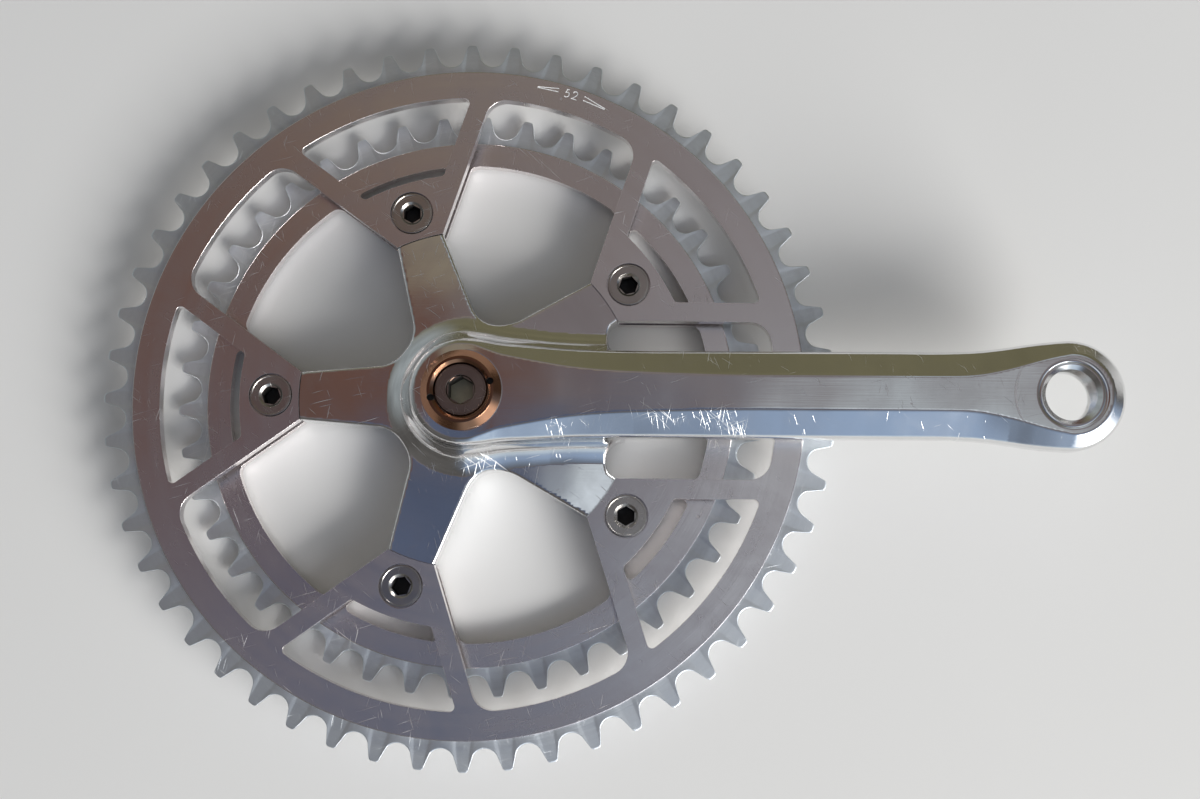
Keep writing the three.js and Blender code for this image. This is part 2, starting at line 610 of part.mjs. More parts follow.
function crankArm() {
  const outline = spiderOutline();
  const disc = prism(shoulder, shoulder, SPIDER_BACK - TINY, BOSS_FACE, 2 * HUB_SIDES);
  const plate = extrude(outline, SPIDER_BACK, spiderFace).intersect(disc);
  const column = extrude(outline, SPIDER_BACK, BOSS_FACE).intersect(disc);
  const raised = hubWall().add(armRoot(rootEnd)).intersect(column);
  const hubBack = prism(HUB_BACK_RADIUS, HUB_BACK_RADIUS, 0, spiderFace, HUB_SIDES);
  const forging = [raised, armBar(), keel(rootEnd), hubBack, ...armAngles.map(spiderTab)]
    .reduce((solid, next) => solid.add(next), plate);

  const flatAt = (z) => TAPER_BACK - 2 * z * Math.tan(radians(TAPER_ANGLE));
  const [below, above] = [-TINY, boltSeat + TINY];
  const taper = toSolid(
    new THREE.CylinderGeometry(flatAt(above) / Math.SQRT2, flatAt(below) / Math.SQRT2, above - below, 4)
      .rotateX(Math.PI / 2).rotateZ(Math.PI / 4).translate(0, 0, (above + below) / 2));
  const thread = prism(EXTRACTOR_THREAD / 2, EXTRACTOR_THREAD / 2, boltSeat, BOSS_FACE + TINY, HUB_SIDES);
  const seat = ringFlange + FIT;
  const hubFace = prism(seat, seat, BOSS_FACE, eyeFace, HUB_SIDES);
  const atEye = (radius, bottom, top) => prism(radius, radius, bottom, top, HUB_SIDES, CRANK_LENGTH, 0);
  const hole = atEye(pedalHole, 0, eyeFace + 1);
  const frontFace = atEye(spotFace, eyeFace - SPOT_FACE_DEPTH, eyeFace + 1);
  const backFace = atEye(spotFace, 0, ARM_BACK_AT_EYE + SPOT_FACE_DEPTH);
  return [taper, thread, hubFace, hole, frontFace, backFace]
    .reduce((solid, tool) => solid.subtract(tool), forging);
}

// ---- Crank bolt set -----------------------------------------------------------------------

function washer(outer, inner, bottom, thickness) {
  const top = bottom + thickness;
  return turn([[inner, bottom], [outer, bottom], [outer, top], [inner, top]], HUB_SIDES);
}

function crankBolt() {
  const [shank, flange, collar] = [BOLT_SHANK / 2, boltFlange, BOLT_COLLAR / 2];
  const chamfer = 0.5;
  const body = turn([
    [0, BOLT_END], [shank, BOLT_END], [shank, flangeUnder], [flange, flangeUnder], [flange, flangeTop],
    [collar, flangeTop], [collar, boltFace - chamfer], [collar - chamfer, boltFace], [0, boltFace],
  ], HUB_SIDES);
  const hex = hexRadius(BOLT_HEX);
  return body.subtract(prism(hex, hex, boltFace - BOLT_HEX_DEPTH, boltFace + TINY, 6));
}

function extractorRing() {
  const bore = BOLT_COLLAR / 2 + FIT;
  const thread = EXTRACTOR_THREAD / 2 - FIT;
  const under = frictionTop + BOLT_FLOAT;
  const mouth = bore + RING_MOUTH;
  const pin = PIN_HOLE / 2;
  const body = turn([
    [bore, under], [thread, under], [thread, BOSS_FACE], [ringFlange, BOSS_FACE],
    [ringFlange, BOSS_FACE + RING_EDGE], [mouth + RING_LAND, ringFace], [mouth, ringFace],
    [bore, ringFace - RING_MOUTH],
  ], HUB_SIDES);
  return [PIN_ANGLE, PIN_ANGLE + 180].reduce((ring, angle) => {
    const at = polar(bore + pin, angle);
    return ring.subtract(prism(pin, pin, ringFace - PIN_HOLE_DEPTH, ringFace + TINY, 12, at.x, at.y));
  }, body);
}

// ---- Assembly -----------------------------------------------------------------------------

const boltWasherRing = washer(boltWasher, BOLT_SHANK / 2 + FIT, boltSeat, BOLT_WASHER_THICKNESS);
const frictionWasher = washer(boltFlange, BOLT_COLLAR / 2 + FIT, flangeTop, FRICTION_WASHER_THICKNESS);
const crankset = new THREE.Group();
crankset.add(
  piece('crank_arm', crankArm(), polishedAlloy),
  piece('outer_chainring', outerChainring(), satinAlloy),
  piece('inner_chainring', innerChainring(), satinAlloy),
  piece('crank_bolt_washer', boltWasherRing, plainSteel),
  piece('crank_bolt', crankBolt(), chromedSteel),
  piece('friction_washer', frictionWasher, plainSteel),
  piece('extractor_ring', extractorRing(), chromedSteel),
);
armAngles.forEach((angle, i) => {
  const at = polar(boltRadius, angle);
  crankset.add(
    piece(`chainring_bolt_${i + 1}`, chainringBolt(at.x, at.y), chromedSteel),
    piece(`chainring_nut_${i + 1}`, chainringNut(at.x, at.y), plainSteel),
  );
});

export default crankset;
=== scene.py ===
"""The looks of a bicycle crankset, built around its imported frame.

Pieces are modelled in millimetres and brought to metres when they are finished. Angles are in
degrees. +X runs from the bottom bracket axis to the pedal axis, and +Z points outboard.
"""
import logging
import math
from collections.abc import Callable, Iterable, Sequence
from dataclasses import dataclass, field
from enum import Enum
from typing import ClassVar

import bmesh
import bpy
import numpy as np
from mathutils import Matrix, Vector


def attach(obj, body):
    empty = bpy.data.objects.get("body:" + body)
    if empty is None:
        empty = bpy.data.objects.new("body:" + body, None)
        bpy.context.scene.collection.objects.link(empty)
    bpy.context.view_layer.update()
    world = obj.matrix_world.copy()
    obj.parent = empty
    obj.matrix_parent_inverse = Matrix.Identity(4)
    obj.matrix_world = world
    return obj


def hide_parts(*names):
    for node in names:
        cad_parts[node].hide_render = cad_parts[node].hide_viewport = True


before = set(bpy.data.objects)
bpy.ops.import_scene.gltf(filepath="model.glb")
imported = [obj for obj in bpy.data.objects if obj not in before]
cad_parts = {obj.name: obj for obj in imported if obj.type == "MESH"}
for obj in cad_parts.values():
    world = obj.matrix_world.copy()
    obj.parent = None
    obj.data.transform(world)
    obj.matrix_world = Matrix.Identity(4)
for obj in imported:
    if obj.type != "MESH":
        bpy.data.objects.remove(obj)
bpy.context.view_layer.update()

LOG = logging.getLogger("crankset")
MM = 0.001
ARM_COUNT = 5
HALF_SECTOR = 180 / ARM_COUNT
ARM_ANGLES = tuple(HALF_SECTOR * (2 * k + 1) for k in range(ARM_COUNT))
SPIN_SIDES = 96
THROUGH = (-3.0, 15.0)  # heights that clear both rings, for cuts right through

Point = tuple[float, float]


class Body(Enum):
    """The moving bodies of the frame."""

    ROOT = "root"
    FLOAT = "bolt_float"
    TURN = "bolt_turn"


class Slot(Enum):
    """The record's material slots."""

    POLISHED = "polished_alloy"
    SATIN = "satin_alloy"
    CHROMED = "chromed_steel"
    ZINC = "zinc_steel"


# ---- Plan geometry ---------------------------------------------------------------------------


def polar(radius: float, degrees: float) -> np.ndarray:
    """The plan point at a radius and an angle from +X."""
    angle = math.radians(degrees)
    return radius * np.array([math.cos(angle), math.sin(angle)])


def arc(centre: Sequence[float], radius: float, start: float, end: float,
        step: float) -> list[np.ndarray]:
    """Points along an arc, both ends included.

    Args:
        centre: Plan point that the arc goes round.
        radius: The arc's radius.
        start: Angle of the first point.
        end: Angle of the last point.
        step: Largest angle between neighbours.

    Returns:
        The points in order.
    """
    count = max(1, math.ceil(abs(end - start) / step))
    angles = [start + (end - start) * i / count for i in range(count + 1)]
    return [np.array(centre) + polar(radius, angle) for angle in angles]


def turned(points: Iterable[Sequence[float]], degrees: float) -> list[np.ndarray]:
    """Plan points turned about the origin."""
    c, s = math.cos(math.radians(degrees)), math.sin(math.radians(degrees))
    return [np.array([c * x - s * y, s * x + c * y]) for x, y in points]


def mirrored(points: Iterable[Sequence[float]]) -> list[np.ndarray]:
    """Plan points reflected in the X axis, in reverse order."""
    return [np.array([x, -y]) for x, y in points][::-1]


def crossing(a: np.ndarray, b: np.ndarray, c: np.ndarray, d: np.ndarray) -> np.ndarray:
    """Where the line through a and b meets the line through c and d."""
    u, v, w = b - a, d - c, c - a
    return a + u * (w[0] * v[1] - w[1] * v[0]) / (u[0] * v[1] - u[1] * v[0])


def rounded(corners: Sequence[tuple[Sequence[float], float]], step: float) -> list[np.ndarray]:
    """A polygon whose corners are rounded.

    Args:
        corners: Each corner's plan point and its radius, 0 for a sharp one.
        step: Largest angle between neighbours on an arc.

    Returns:
        The outline's points in order.
    """
    outline = []
    for i, (at, radius) in enumerate(corners):
        at = np.array(at, float)
        if not radius:
            outline.append(at)
            continue
        before = np.array(corners[i - 1][0], float) - at
        after = np.array(corners[(i + 1) % len(corners)][0], float) - at
        before /= np.linalg.norm(before)
        after /= np.linalg.norm(after)
        half = math.acos(np.clip(before @ after, -1, 1)) / 2
        middle = before + after
        centre = at + middle / np.linalg.norm(middle) * radius / math.sin(half)
        first = at + before * radius / math.tan(half) - centre
        last = at + after * radius / math.tan(half) - centre
        start = math.degrees(math.atan2(first[1], first[0]))
        sweep = math.degrees(math.atan2(first[0] * last[1] - first[1] * last[0], first @ last))
        outline += arc(centre, radius, start, start + sweep, step)
    return outline


# ---- Bench work ------------------------------------------------------------------------------


def only(obj: bpy.types.Object) -> bpy.types.Object:
    """Makes one object the only selected one, and the active one.

    Args:
        obj: The piece.

    Returns:
        The same piece.
    """
    bpy.ops.object.select_all(action="DESELECT")
    obj.select_set(True)
    bpy.context.view_layer.objects.active = obj
    return obj


def new_piece(name: str, points: Sequence, edges: Sequence = (),
              faces: Sequence = ()) -> bpy.types.Object:
    """A new object from points in millimetres and their edges or faces.

    Args:
        name: The object's name.
        points: Its points.
        edges: Pairs of point numbers.
        faces: Rings of point numbers.

    Returns:
        The object.
    """
    mesh = bpy.data.meshes.new(name)
    mesh.from_pydata([tuple(map(float, p)) for p in points], edges, faces)
    obj = bpy.data.objects.new(name, mesh)
    bpy.context.scene.collection.objects.link(obj)
    return only(obj)


def shape(obj: bpy.types.Object, kind: str, **settings: object) -> None:
    """Adds a modifier with these settings and applies it.

    Args:
        obj: The piece.
        kind: The modifier's type.
        settings: Its properties.
    """
    only(obj)
    modifier = obj.modifiers.new(kind.title(), kind)
    for key, value in settings.items():
        setattr(modifier, key, value)
    bpy.ops.object.modifier_apply(modifier=modifier.name)


def edit(obj: bpy.types.Object, *steps: Callable[[], object]) -> bpy.types.Object:
    """Runs operators in edit mode with the whole mesh selected.

    Args:
        obj: The piece.
        steps: Each runs an operator.

    Returns:
        The same piece.
    """
    only(obj)
    bpy.ops.object.mode_set(mode="EDIT")
    bpy.ops.mesh.select_all(action="SELECT")
    for step in steps:
        step()
    bpy.ops.object.mode_set(mode="OBJECT")
    return obj


def close_up(obj: bpy.types.Object) -> bpy.types.Object:
    """Merges doubles and turns every face outwards."""
    return edit(obj, lambda: bpy.ops.mesh.remove_doubles(threshold=1e-4),
                lambda: bpy.ops.mesh.normals_make_consistent(inside=False))


def drum(name: str, radius: float, bottom: float, top: float, at: Sequence[float] = (0, 0),
         tip: float | None = None, sides: int = SPIN_SIDES, turn: float = 0) -> bpy.types.Object:
    """A cylinder, or a cone frustum, about a vertical axis.

    Args:
        name: The object's name.
        radius: Radius at the bottom, to the corners.
        bottom: Height of the lower end.
        top: Height of the upper end.
        at: Plan point of the axis.
        tip: Radius at the top, if it differs.
        sides: Number of sides.
        turn: Turn about the axis.

    Returns:
        The solid, with its place in its mesh.
    """
    bpy.ops.object.select_all(action="DESELECT")
    bpy.ops.mesh.primitive_cone_add(
        vertices=sides, radius1=radius, radius2=radius if tip is None else tip, depth=top - bottom,
        location=(at[0], at[1], (top + bottom) / 2), rotation=(0, 0, math.radians(turn)))
    obj = bpy.context.active_object
    obj.name = obj.data.name = name
    bpy.ops.object.transform_apply(location=True, rotation=True, scale=True)
    return obj


def slab(name: str, outline: Sequence[Sequence[float]], bottom: float,
         top: float) -> bpy.types.Object:
    """A plan outline drawn up from one height to another."""
    obj = new_piece(name, [(x, y, bottom) for x, y in outline], faces=[range(len(outline))])
    return draw_up(obj, top - bottom)


def draw_up(obj: bpy.types.Object, height: float) -> bpy.types.Object:
    """Extrudes flat faces upwards into a closed solid."""
    move = {"value": (0, 0, height)}
    edit(obj, lambda: bpy.ops.mesh.extrude_region_move(TRANSFORM_OT_translate=move))
    return close_up(obj)


def spun(name: str, profile: Sequence[Point], at: Sequence[float] = (0, 0),
         sides: int = SPIN_SIDES) -> bpy.types.Object:
    """A profile spun about a vertical axis.

    Args:
        name: The object's name.
        profile: Corners as (radius, height), starting and ending on the axis or closing on itself.
        at: Plan point of the axis.
        sides: Steps of the spin.

    Returns:
        The closed solid.
    """
    chain = len(profile) if profile[0][0] or profile[-1][0] else len(profile) - 1
    obj = new_piece(name, [(radius, 0, height) for radius, height in profile],
                    [(i, (i + 1) % len(profile)) for i in range(chain)])
    edit(obj, lambda: bpy.ops.mesh.spin(steps=sides, angle=math.tau, center=(0, 0, 0),
                                        axis=(0, 0, 1)))
    close_up(obj)
    obj.data.transform(Matrix.Translation((at[0], at[1], 0)))
    return obj


def edit_some(obj: bpy.types.Object, kind: str, wanted: Callable[[bmesh.types.BMEdge], bool],
              step: Callable[[], object]) -> None:
    """Runs an operator in edit mode with only some of a mesh selected.

    Args:
        obj: The piece.
        kind: What is selected, EDGE or FACE.
        wanted: Tells which edges or faces.
        step: Runs the operator.
    """
    only(obj)
    bpy.ops.object.mode_set(mode="EDIT")
    bpy.ops.mesh.select_mode(type=kind)
    bpy.ops.mesh.select_all(action="DESELECT")
    mesh = bmesh.from_edit_mesh(obj.data)
    for element in mesh.edges if kind == "EDGE" else mesh.faces:
        if wanted(element):
            element.select_set(True)
    bmesh.update_edit_mesh(obj.data)
    step()
    bpy.ops.object.mode_set(mode="OBJECT")


def round_edges(obj: bpy.types.Object, wanted: Callable[[bmesh.types.BMEdge], bool], width: float,
                segments: int = 2) -> None:
    """Bevels the wanted edges."""
    edit_some(obj, "EDGE", wanted, lambda: bpy.ops.mesh.bevel(
        offset=width, segments=segments, affect="EDGES", clamp_overlap=True))


def is_sharp(edge: bmesh.types.BMEdge, degrees: float = 40) -> bool:
    """Whether an edge's two faces turn by more than this."""
    return edge.is_manifold and edge.calc_face_angle() > math.radians(degrees)


def copied(obj: bpy.types.Object, name: str, degrees: float = 0) -> bpy.types.Object:
    """A copy with its own mesh, turned about the Z axis.

    Args:
        obj: The original.
        name: The copy's name.
        degrees: Its turn.

    Returns:
        The copy.
    """
    twin = obj.copy()
    twin.data = obj.data.copy()
    twin.name = twin.data.name = name
    twin.data.transform(Matrix.Rotation(math.radians(degrees), 4, "Z"))
    bpy.context.scene.collection.objects.link(twin)
    return twin


def joined(pieces: Sequence[bpy.types.Object], name: str) -> bpy.types.Object:
    """One object made of several.

    Args:
        pieces: The objects, which become one.
        name: Its name.

    Returns:
        The joined object.
    """
    only(pieces[0])
    for obj in pieces[1:]:
        obj.select_set(True)
    if len(pieces) > 1:
        bpy.ops.object.join()
    pieces[0].name = pieces[0].data.name = name
    return pieces[0]


def around(make: Callable[[], bpy.types.Object], name: str, turn: float = 0) -> bpy.types.Object:
    """A tool modelled on +X, copied to each of the spider's arms and joined.

    Args:
        make: Makes the tool.
        name: The joined tool's name.
        turn: Angle on from the arms.

    Returns:
        The joined tool.
    """
    first = make()
    tools = [copied(first, f"{name}_{i}", angle + turn) for i, angle in enumerate(ARM_ANGLES)]
    bpy.data.objects.remove(first)
    return joined(tools, name)


def combine(obj: bpy.types.Object, tool: bpy.types.Object, operation: str = "DIFFERENCE") -> None:
    """Cuts a solid with a tool, or joins them, and takes the tool away."""
    shape(obj, "BOOLEAN", object=tool, operation=operation, solver="MANIFOLD")
    bpy.data.objects.remove(tool)


def machined(obj: bpy.types.Object, angle: float = 35) -> bpy.types.Object:
    """Shades a hard-edged piece, keeps its flats flat and brings it to metres.

    Args:
        obj: The piece, in millimetres.
        angle: Edges that turn by more than this stay hard.

    Returns:
        The same piece.
    """
    only(obj)
    bpy.ops.object.shade_smooth_by_angle(angle=math.radians(angle))
    shape(obj, "WEIGHTED_NORMAL", keep_sharp=True, weight=80)
    obj.data.transform(Matrix.Scale(MM, 4))
    return obj


def hand_over(obj: bpy.types.Object, node: str, body: Body,
              finishes: Sequence[bpy.types.Material]) -> None:
    """Dresses a finished piece and puts it in its node's place.

    Args:
        obj: The finished piece, in metres.
        node: The node that it stands for.
        body: The body that it rides on.
        finishes: Its materials, in the order of its faces' indices.
    """
    obj.data.materials.clear()
    for finish in finishes:
        obj.data.materials.append(finish)
    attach(obj, body.value)
    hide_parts(node)
    LOG.info("%s: %d faces", obj.name, len(obj.data.polygons))


def paint(obj: bpy.types.Object, index: int,
          wanted: Callable[[bpy.types.MeshPolygon], bool]) -> None:
    """Gives the wanted faces another of the piece's materials."""
    for face in obj.data.polygons:
        if wanted(face):
            face.material_index = index


# ---- Finishes --------------------------------------------------------------------------------


Given = bpy.types.NodeSocket | float | Sequence[float]  # what a node's input can be given


class Wiring:
    """Adds and links the nodes of one tree."""

    def __init__(self, tree: bpy.types.NodeTree) -> None:
        """Starts on a tree."""
        self.tree = tree

    def add(self, kind: str, inputs: dict[str | int, Given] | None = None,
            **settings: object) -> bpy.types.Node:
        """Adds a node.

        Args:
            kind: The node's type.
            inputs: Values or sockets for its inputs, by name or number.
            settings: Properties of the node.

        Returns:
            The node.
        """
        node = self.tree.nodes.new(kind)
        for key, value in settings.items():
            setattr(node, key, value)
        for key, value in (inputs or {}).items():
            if isinstance(value, bpy.types.NodeSocket):
                self.tree.links.new(value, node.inputs[key])
            else:
                node.inputs[key].default_value = value
        return node

    def math(self, operation: str, *values: Given, clamp: bool = False) -> bpy.types.NodeSocket:
        """The result of a math node."""
        inputs = dict(enumerate(values))
        return self.add("ShaderNodeMath", inputs, operation=operation, use_clamp=clamp).outputs[0]

    def vector(self, operation: str, *values: Given) -> bpy.types.NodeSocket:
        """The result of a vector math node."""
        node = self.add("ShaderNodeVectorMath", dict(enumerate(values)), operation=operation)
        return node.outputs["Value" if operation in ("LENGTH", "DOT_PRODUCT", "DISTANCE") else 0]

    def spread(self, value: Given, low: float, high: float, to_low: float = 0,
               to_high: float = 1) -> bpy.types.NodeSocket:
        """A value carried from one range to another and held there."""
        node = self.add("ShaderNodeMapRange", {0: value, 1: low, 2: high, 3: to_low, 4: to_high})
        return node.outputs[0]

    def noise(self, vector: Given, scale: float, detail: float = 2) -> bpy.types.NodeSocket:
        """A noise texture's value."""
        inputs = {"Vector": vector, "Scale": scale, "Detail": detail}
        return self.add("ShaderNodeTexNoise", inputs).outputs[0]

    def mix(self, share: Given, first: Given, second: Given) -> bpy.types.NodeSocket:
        """A blend of two colours."""
        node = self.add("ShaderNodeMix", {0: share, 6: first, 7: second}, data_type="RGBA")
        return node.outputs[2]

    def group(self, tree: bpy.types.NodeTree, inputs: dict[str, Given]) -> bpy.types.Node:
        """A node group placed with its own values."""
        return self.add("ShaderNodeGroup", inputs, node_tree=tree)


def effect(name: str, inputs: dict[str, float],
           outputs: Sequence[str]) -> tuple[Wiring, bpy.types.Node, bpy.types.Node]:
    """A new shader node group that reads a vector and some values.

    Args:
        name: The group's name.
        inputs: Its value inputs and their defaults.
        outputs: Names of its value outputs.

    Returns:
        Its wiring, its input node and its output node.
    """
    tree = bpy.data.node_groups.new(name, "ShaderNodeTree")
    tree.interface.new_socket("Vector", in_out="INPUT", socket_type="NodeSocketVector")
    for key, value in inputs.items():
        socket = tree.interface.new_socket(key, in_out="INPUT", socket_type="NodeSocketFloat")
        socket.default_value = value
    for key in outputs:
        tree.interface.new_socket(key, in_out="OUTPUT", socket_type="NodeSocketFloat")
    return Wiring(tree), tree.nodes.new("NodeGroupInput"), tree.nodes.new("NodeGroupOutput")


def scratches_group() -> bpy.types.NodeTree:
    """Fine, slightly bent scratches in four directions, gathered in patches.

    Returns:
        A group that gives a mask of the scratches.
    """
    headings_and_lengths = ((17, 90.0), (78, 130.0), (-38, 110.0), (-72, 160.0))
    width, spacing = 1 / 4300, 1 / 90
    wire, given, result = effect("fine_scratches", {"Amount": 0.5}, ["Mask"])
    place = given.outputs["Vector"]
    wobble = wire.add("ShaderNodeTexNoise", {"Vector": place, "Scale": 45.0, "Detail": 1.0})
    bent = wire.vector("ADD", place, wire.vector("MULTIPLY", wobble.outputs[1], (0.004,) * 3))
    patches = wire.spread(wire.noise(place, 60.0, 1.0), 0.4, 0.6)
    level = wire.math("SUBTRACT", 0.84, wire.math("MULTIPLY", given.outputs["Amount"], 0.16))
    total = None
    for turn, length in headings_and_lengths:
        settings = {0: bent, 2: (0, 0, math.radians(turn)), 3: (1 / length, width, spacing)}
        mapped = wire.add("ShaderNodeMapping", settings, vector_type="TEXTURE")
        mark = wire.math("SUBTRACT", wire.noise(mapped.outputs[0], 1.0, 0.0), level)
        mark = wire.math("MULTIPLY", mark, 20.0, clamp=True)
        total = mark if total is None else wire.math("MAXIMUM", total, mark)
    wire.tree.links.new(wire.math("MULTIPLY", total, patches), result.inputs["Mask"])
    return wire.tree


def turning_group() -> bpy.types.NodeTree:
    """Circular tool marks about the vector's Z axis, fine lines and broad streaks.

    Returns:
        A group that gives the lines' height and the streaks.
    """
    streaks = 260.0
    wire, given, result = effect("turning_marks", {"Lines": 3000.0}, ["Height", "Streak"])
    flat = wire.vector("MULTIPLY", given.outputs["Vector"], (1, 1, 0))
    radius = wire.vector("LENGTH", flat)
    round_the_axis = wire.vector("SCALE", wire.vector("NORMALIZE", flat))
    wire.tree.nodes[-1].inputs["Scale"].default_value = 1.5
    marks = ((given.outputs["Lines"], 3.0, "Height"), (streaks, 2.0, "Streak"))
    for lines, detail, output in marks:
        outward = wire.add("ShaderNodeCombineXYZ", {2: wire.math("MULTIPLY", radius, lines)})
        place = wire.vector("ADD", round_the_axis, outward.outputs[0])
        wire.tree.links.new(wire.noise(place, 1.0, detail), result.inputs[output])
    return wire.tree


def handling_group() -> bpy.types.NodeTree:
    """Smudges from hands and small dings from use.

    Returns:
        A group that gives smudges and dings.
    """
    wire, given, result = effect("handling", {"Size": 60.0}, ["Smudge", "Dings"])
    place = given.outputs["Vector"]
    smudge = wire.add("ShaderNodeTexNoise", {
        "Vector": place, "Scale": given.outputs["Size"], "Detail": 4.0, "Roughness": 0.62,
        "Distortion": 0.6})
    wire.tree.links.new(wire.spread(smudge.outputs[0], 0.35, 0.68), result.inputs["Smudge"])
    cells = wire.add("ShaderNodeTexVoronoi", {"Vector": place, "Scale": 190.0, "Randomness": 1.0})
    chosen = wire.add("ShaderNodeSeparateColor", {0: cells.outputs["Color"]})
    size = wire.spread(chosen.outputs[0], 0.72, 1.0, 0.0, 0.11)
    depth = wire.math("SUBTRACT", size, cells.outputs["Distance"])
    wire.tree.links.new(wire.math("MULTIPLY", depth, 30.0, clamp=True), result.inputs["Dings"])
    return wire.tree


@dataclass(frozen=True)
class WornPatch:
    """A place where scratches are gathered, longer along X than across it."""

    at: tuple[float, float, float]
    reach: float
    stretch: float = 1.0
    strength: float = 0.5

    def share(self, wire: Wiring, place: bpy.types.NodeSocket) -> bpy.types.NodeSocket:
        """How much the patch adds to the scratches.

        Args:
            wire: The tree to add it to.
            place: Object coordinates.

        Returns:
            Its share, 0 to 1.
        """
        away = wire.vector("SUBTRACT", place, self.at)
        distance = wire.vector("LENGTH", wire.vector("MULTIPLY", away, (1 / self.stretch, 1, 1)))
        return wire.spread(distance, 0.2 * self.reach, self.reach, self.strength, 0)


@dataclass(frozen=True)
class WornArc:
    """A rubbed line that curves about an upright axis, on the axis's side towards the hub."""

    axis: tuple[float, float, float]
    radius: float
    width: float
    strength: float = 0.8

    def share(self, wire: Wiring, place: bpy.types.NodeSocket) -> bpy.types.NodeSocket:
        """How strong the line is.

        Args:
            wire: The tree to add it to.
            place: Object coordinates.

        Returns:
            Its strength.
        """
        away = wire.vector("MULTIPLY", wire.vector("SUBTRACT", place, self.axis), (1, 1, 0))
        off = wire.math("ABSOLUTE", wire.math("SUBTRACT", wire.vector("LENGTH", away), self.radius))
        line = wire.spread(off, 0.2 * self.width, self.width, self.strength, 0)
        along = wire.add("ShaderNodeSeparateXYZ", {0: away}).outputs[0]
        ends = wire.spread(along, -self.radius, -0.82 * self.radius, 1, 0)
        return wire.math("MULTIPLY", line, ends)


@dataclass(frozen=True)
class Metal:
    """A worn metal finish.

    Its colour and roughness vary with smudges, scratches and dings, and its grain is either
    turned about the Z axis or drawn along one direction.
    """

    BARE: ClassVar[tuple] = (0.97, 0.97, 0.97, 1)
    DENTED: ClassVar[tuple] = (0.95, 0.95, 0.95, 1)
    BUMP_HEIGHT: ClassVar[float] = 0.00004
    WAVES: ClassVar[float] = 42.0

    name: str
    colour: tuple[float, float, float]
    shade: tuple[float, float, float]
    roughness: float
    smudged: float = 0.08
    scratched: float = 0.5
    dinged: float = 0.0
    turned: float = 0.0
    lines: float = 3000.0
    streaks: float = 0.0
    grain: tuple[float, float, float] | None = None
    grain_depth: float = 0.0
    anisotropy: float = 0.0
    wavy: float = 0.0
    worn: tuple[WornPatch, ...] = ()
    rubbed: tuple[WornArc, ...] = ()
    shared: dict = field(default_factory=dict, compare=False)

    def make(self) -> bpy.types.Material:
        """The finish as a material."""
        material = bpy.data.materials.new(self.name)
        material.use_nodes = True
        material.diffuse_color = (*self.colour, 1)
        wire = Wiring(material.node_tree)
        shader = material.node_tree.nodes["Principled BSDF"]
        shader.inputs["Metallic"].default_value = 1.0
        place = wire.add("ShaderNodeTexCoord").outputs["Object"]
        handling = wire.group(self.shared["handling"], {"Vector": place})
        amount = self.scratched
        for patch in self.worn:
            amount = wire.math("ADD", amount, patch.share(wire, place))
        scratches = wire.group(self.shared["scratches"], {"Vector": place, "Amount": amount})
        turning = wire.group(self.shared["turning"], {"Vector": place, "Lines": self.lines})
        smudge, dings = handling.outputs["Smudge"], handling.outputs["Dings"]
        scratch = scratches.outputs["Mask"]
        for line in self.rubbed:
            scratch = wire.math("MAXIMUM", scratch, line.share(wire, place))
        streak = wire.spread(turning.outputs["Streak"], 0.3, 0.7)

        streaked = wire.math("MULTIPLY", streak, 0.45)
        shade = wire.math("ADD", wire.math("MULTIPLY", smudge, 0.55), streaked)
        colour = wire.mix(shade, (*self.colour, 1), (*self.shade, 1))
        colour = wire.mix(wire.math("MULTIPLY", scratch, 0.65), colour, self.BARE)
        colour = wire.mix(wire.math("MULTIPLY", dings, 0.6 * self.dinged), colour, self.DENTED)
        material.node_tree.links.new(colour, shader.inputs["Base Color"])

        rough = wire.math("ADD", self.roughness, wire.math("MULTIPLY", smudge, self.smudged))
        rough = wire.math("ADD", rough, wire.math("MULTIPLY", streak, self.streaks))
        rough = wire.math("ADD", rough, wire.math("MULTIPLY", scratch, 0.35))
        rough = wire.math("ADD", rough, wire.math("MULTIPLY", dings, 0.3 * self.dinged), clamp=True)
        material.node_tree.links.new(rough, shader.inputs["Roughness"])

        height = wire.math("MULTIPLY", scratch, -0.4)
        height = wire.math("ADD", height, wire.math("MULTIPLY", dings, -0.8 * self.dinged))
        turned_lines = wire.math("MULTIPLY", turning.outputs["Height"], self.turned)
        height = wire.math("ADD", height, turned_lines)
        if self.grain:
            mapped = wire.add("ShaderNodeMapping", {0: place, 3: self.grain})
            lines = wire.noise(mapped.outputs[0], 1.0, 2.0)
            height = wire.math("ADD", height, wire.math("MULTIPLY", lines, self.grain_depth))
        bump = wire.add("ShaderNodeBump", {"Strength": 1.0, "Distance": self.BUMP_HEIGHT,
                                           "Height": height})
        if self.wavy:
            soft = wire.add("ShaderNodeBump", {"Strength": 1.0, "Distance": self.wavy,
                                               "Height": wire.noise(place, self.WAVES, 1.0)})
            material.node_tree.links.new(soft.outputs[0], bump.inputs["Normal"])
        material.node_tree.links.new(bump.outputs[0], shader.inputs["Normal"])
        if self.anisotropy:
            shader.inputs["Anisotropic"].default_value = self.anisotropy
            tangent = wire.add("ShaderNodeTangent", direction_type="RADIAL", axis="Z")
            material.node_tree.links.new(tangent.outputs[0], shader.inputs["Tangent"])
        return material


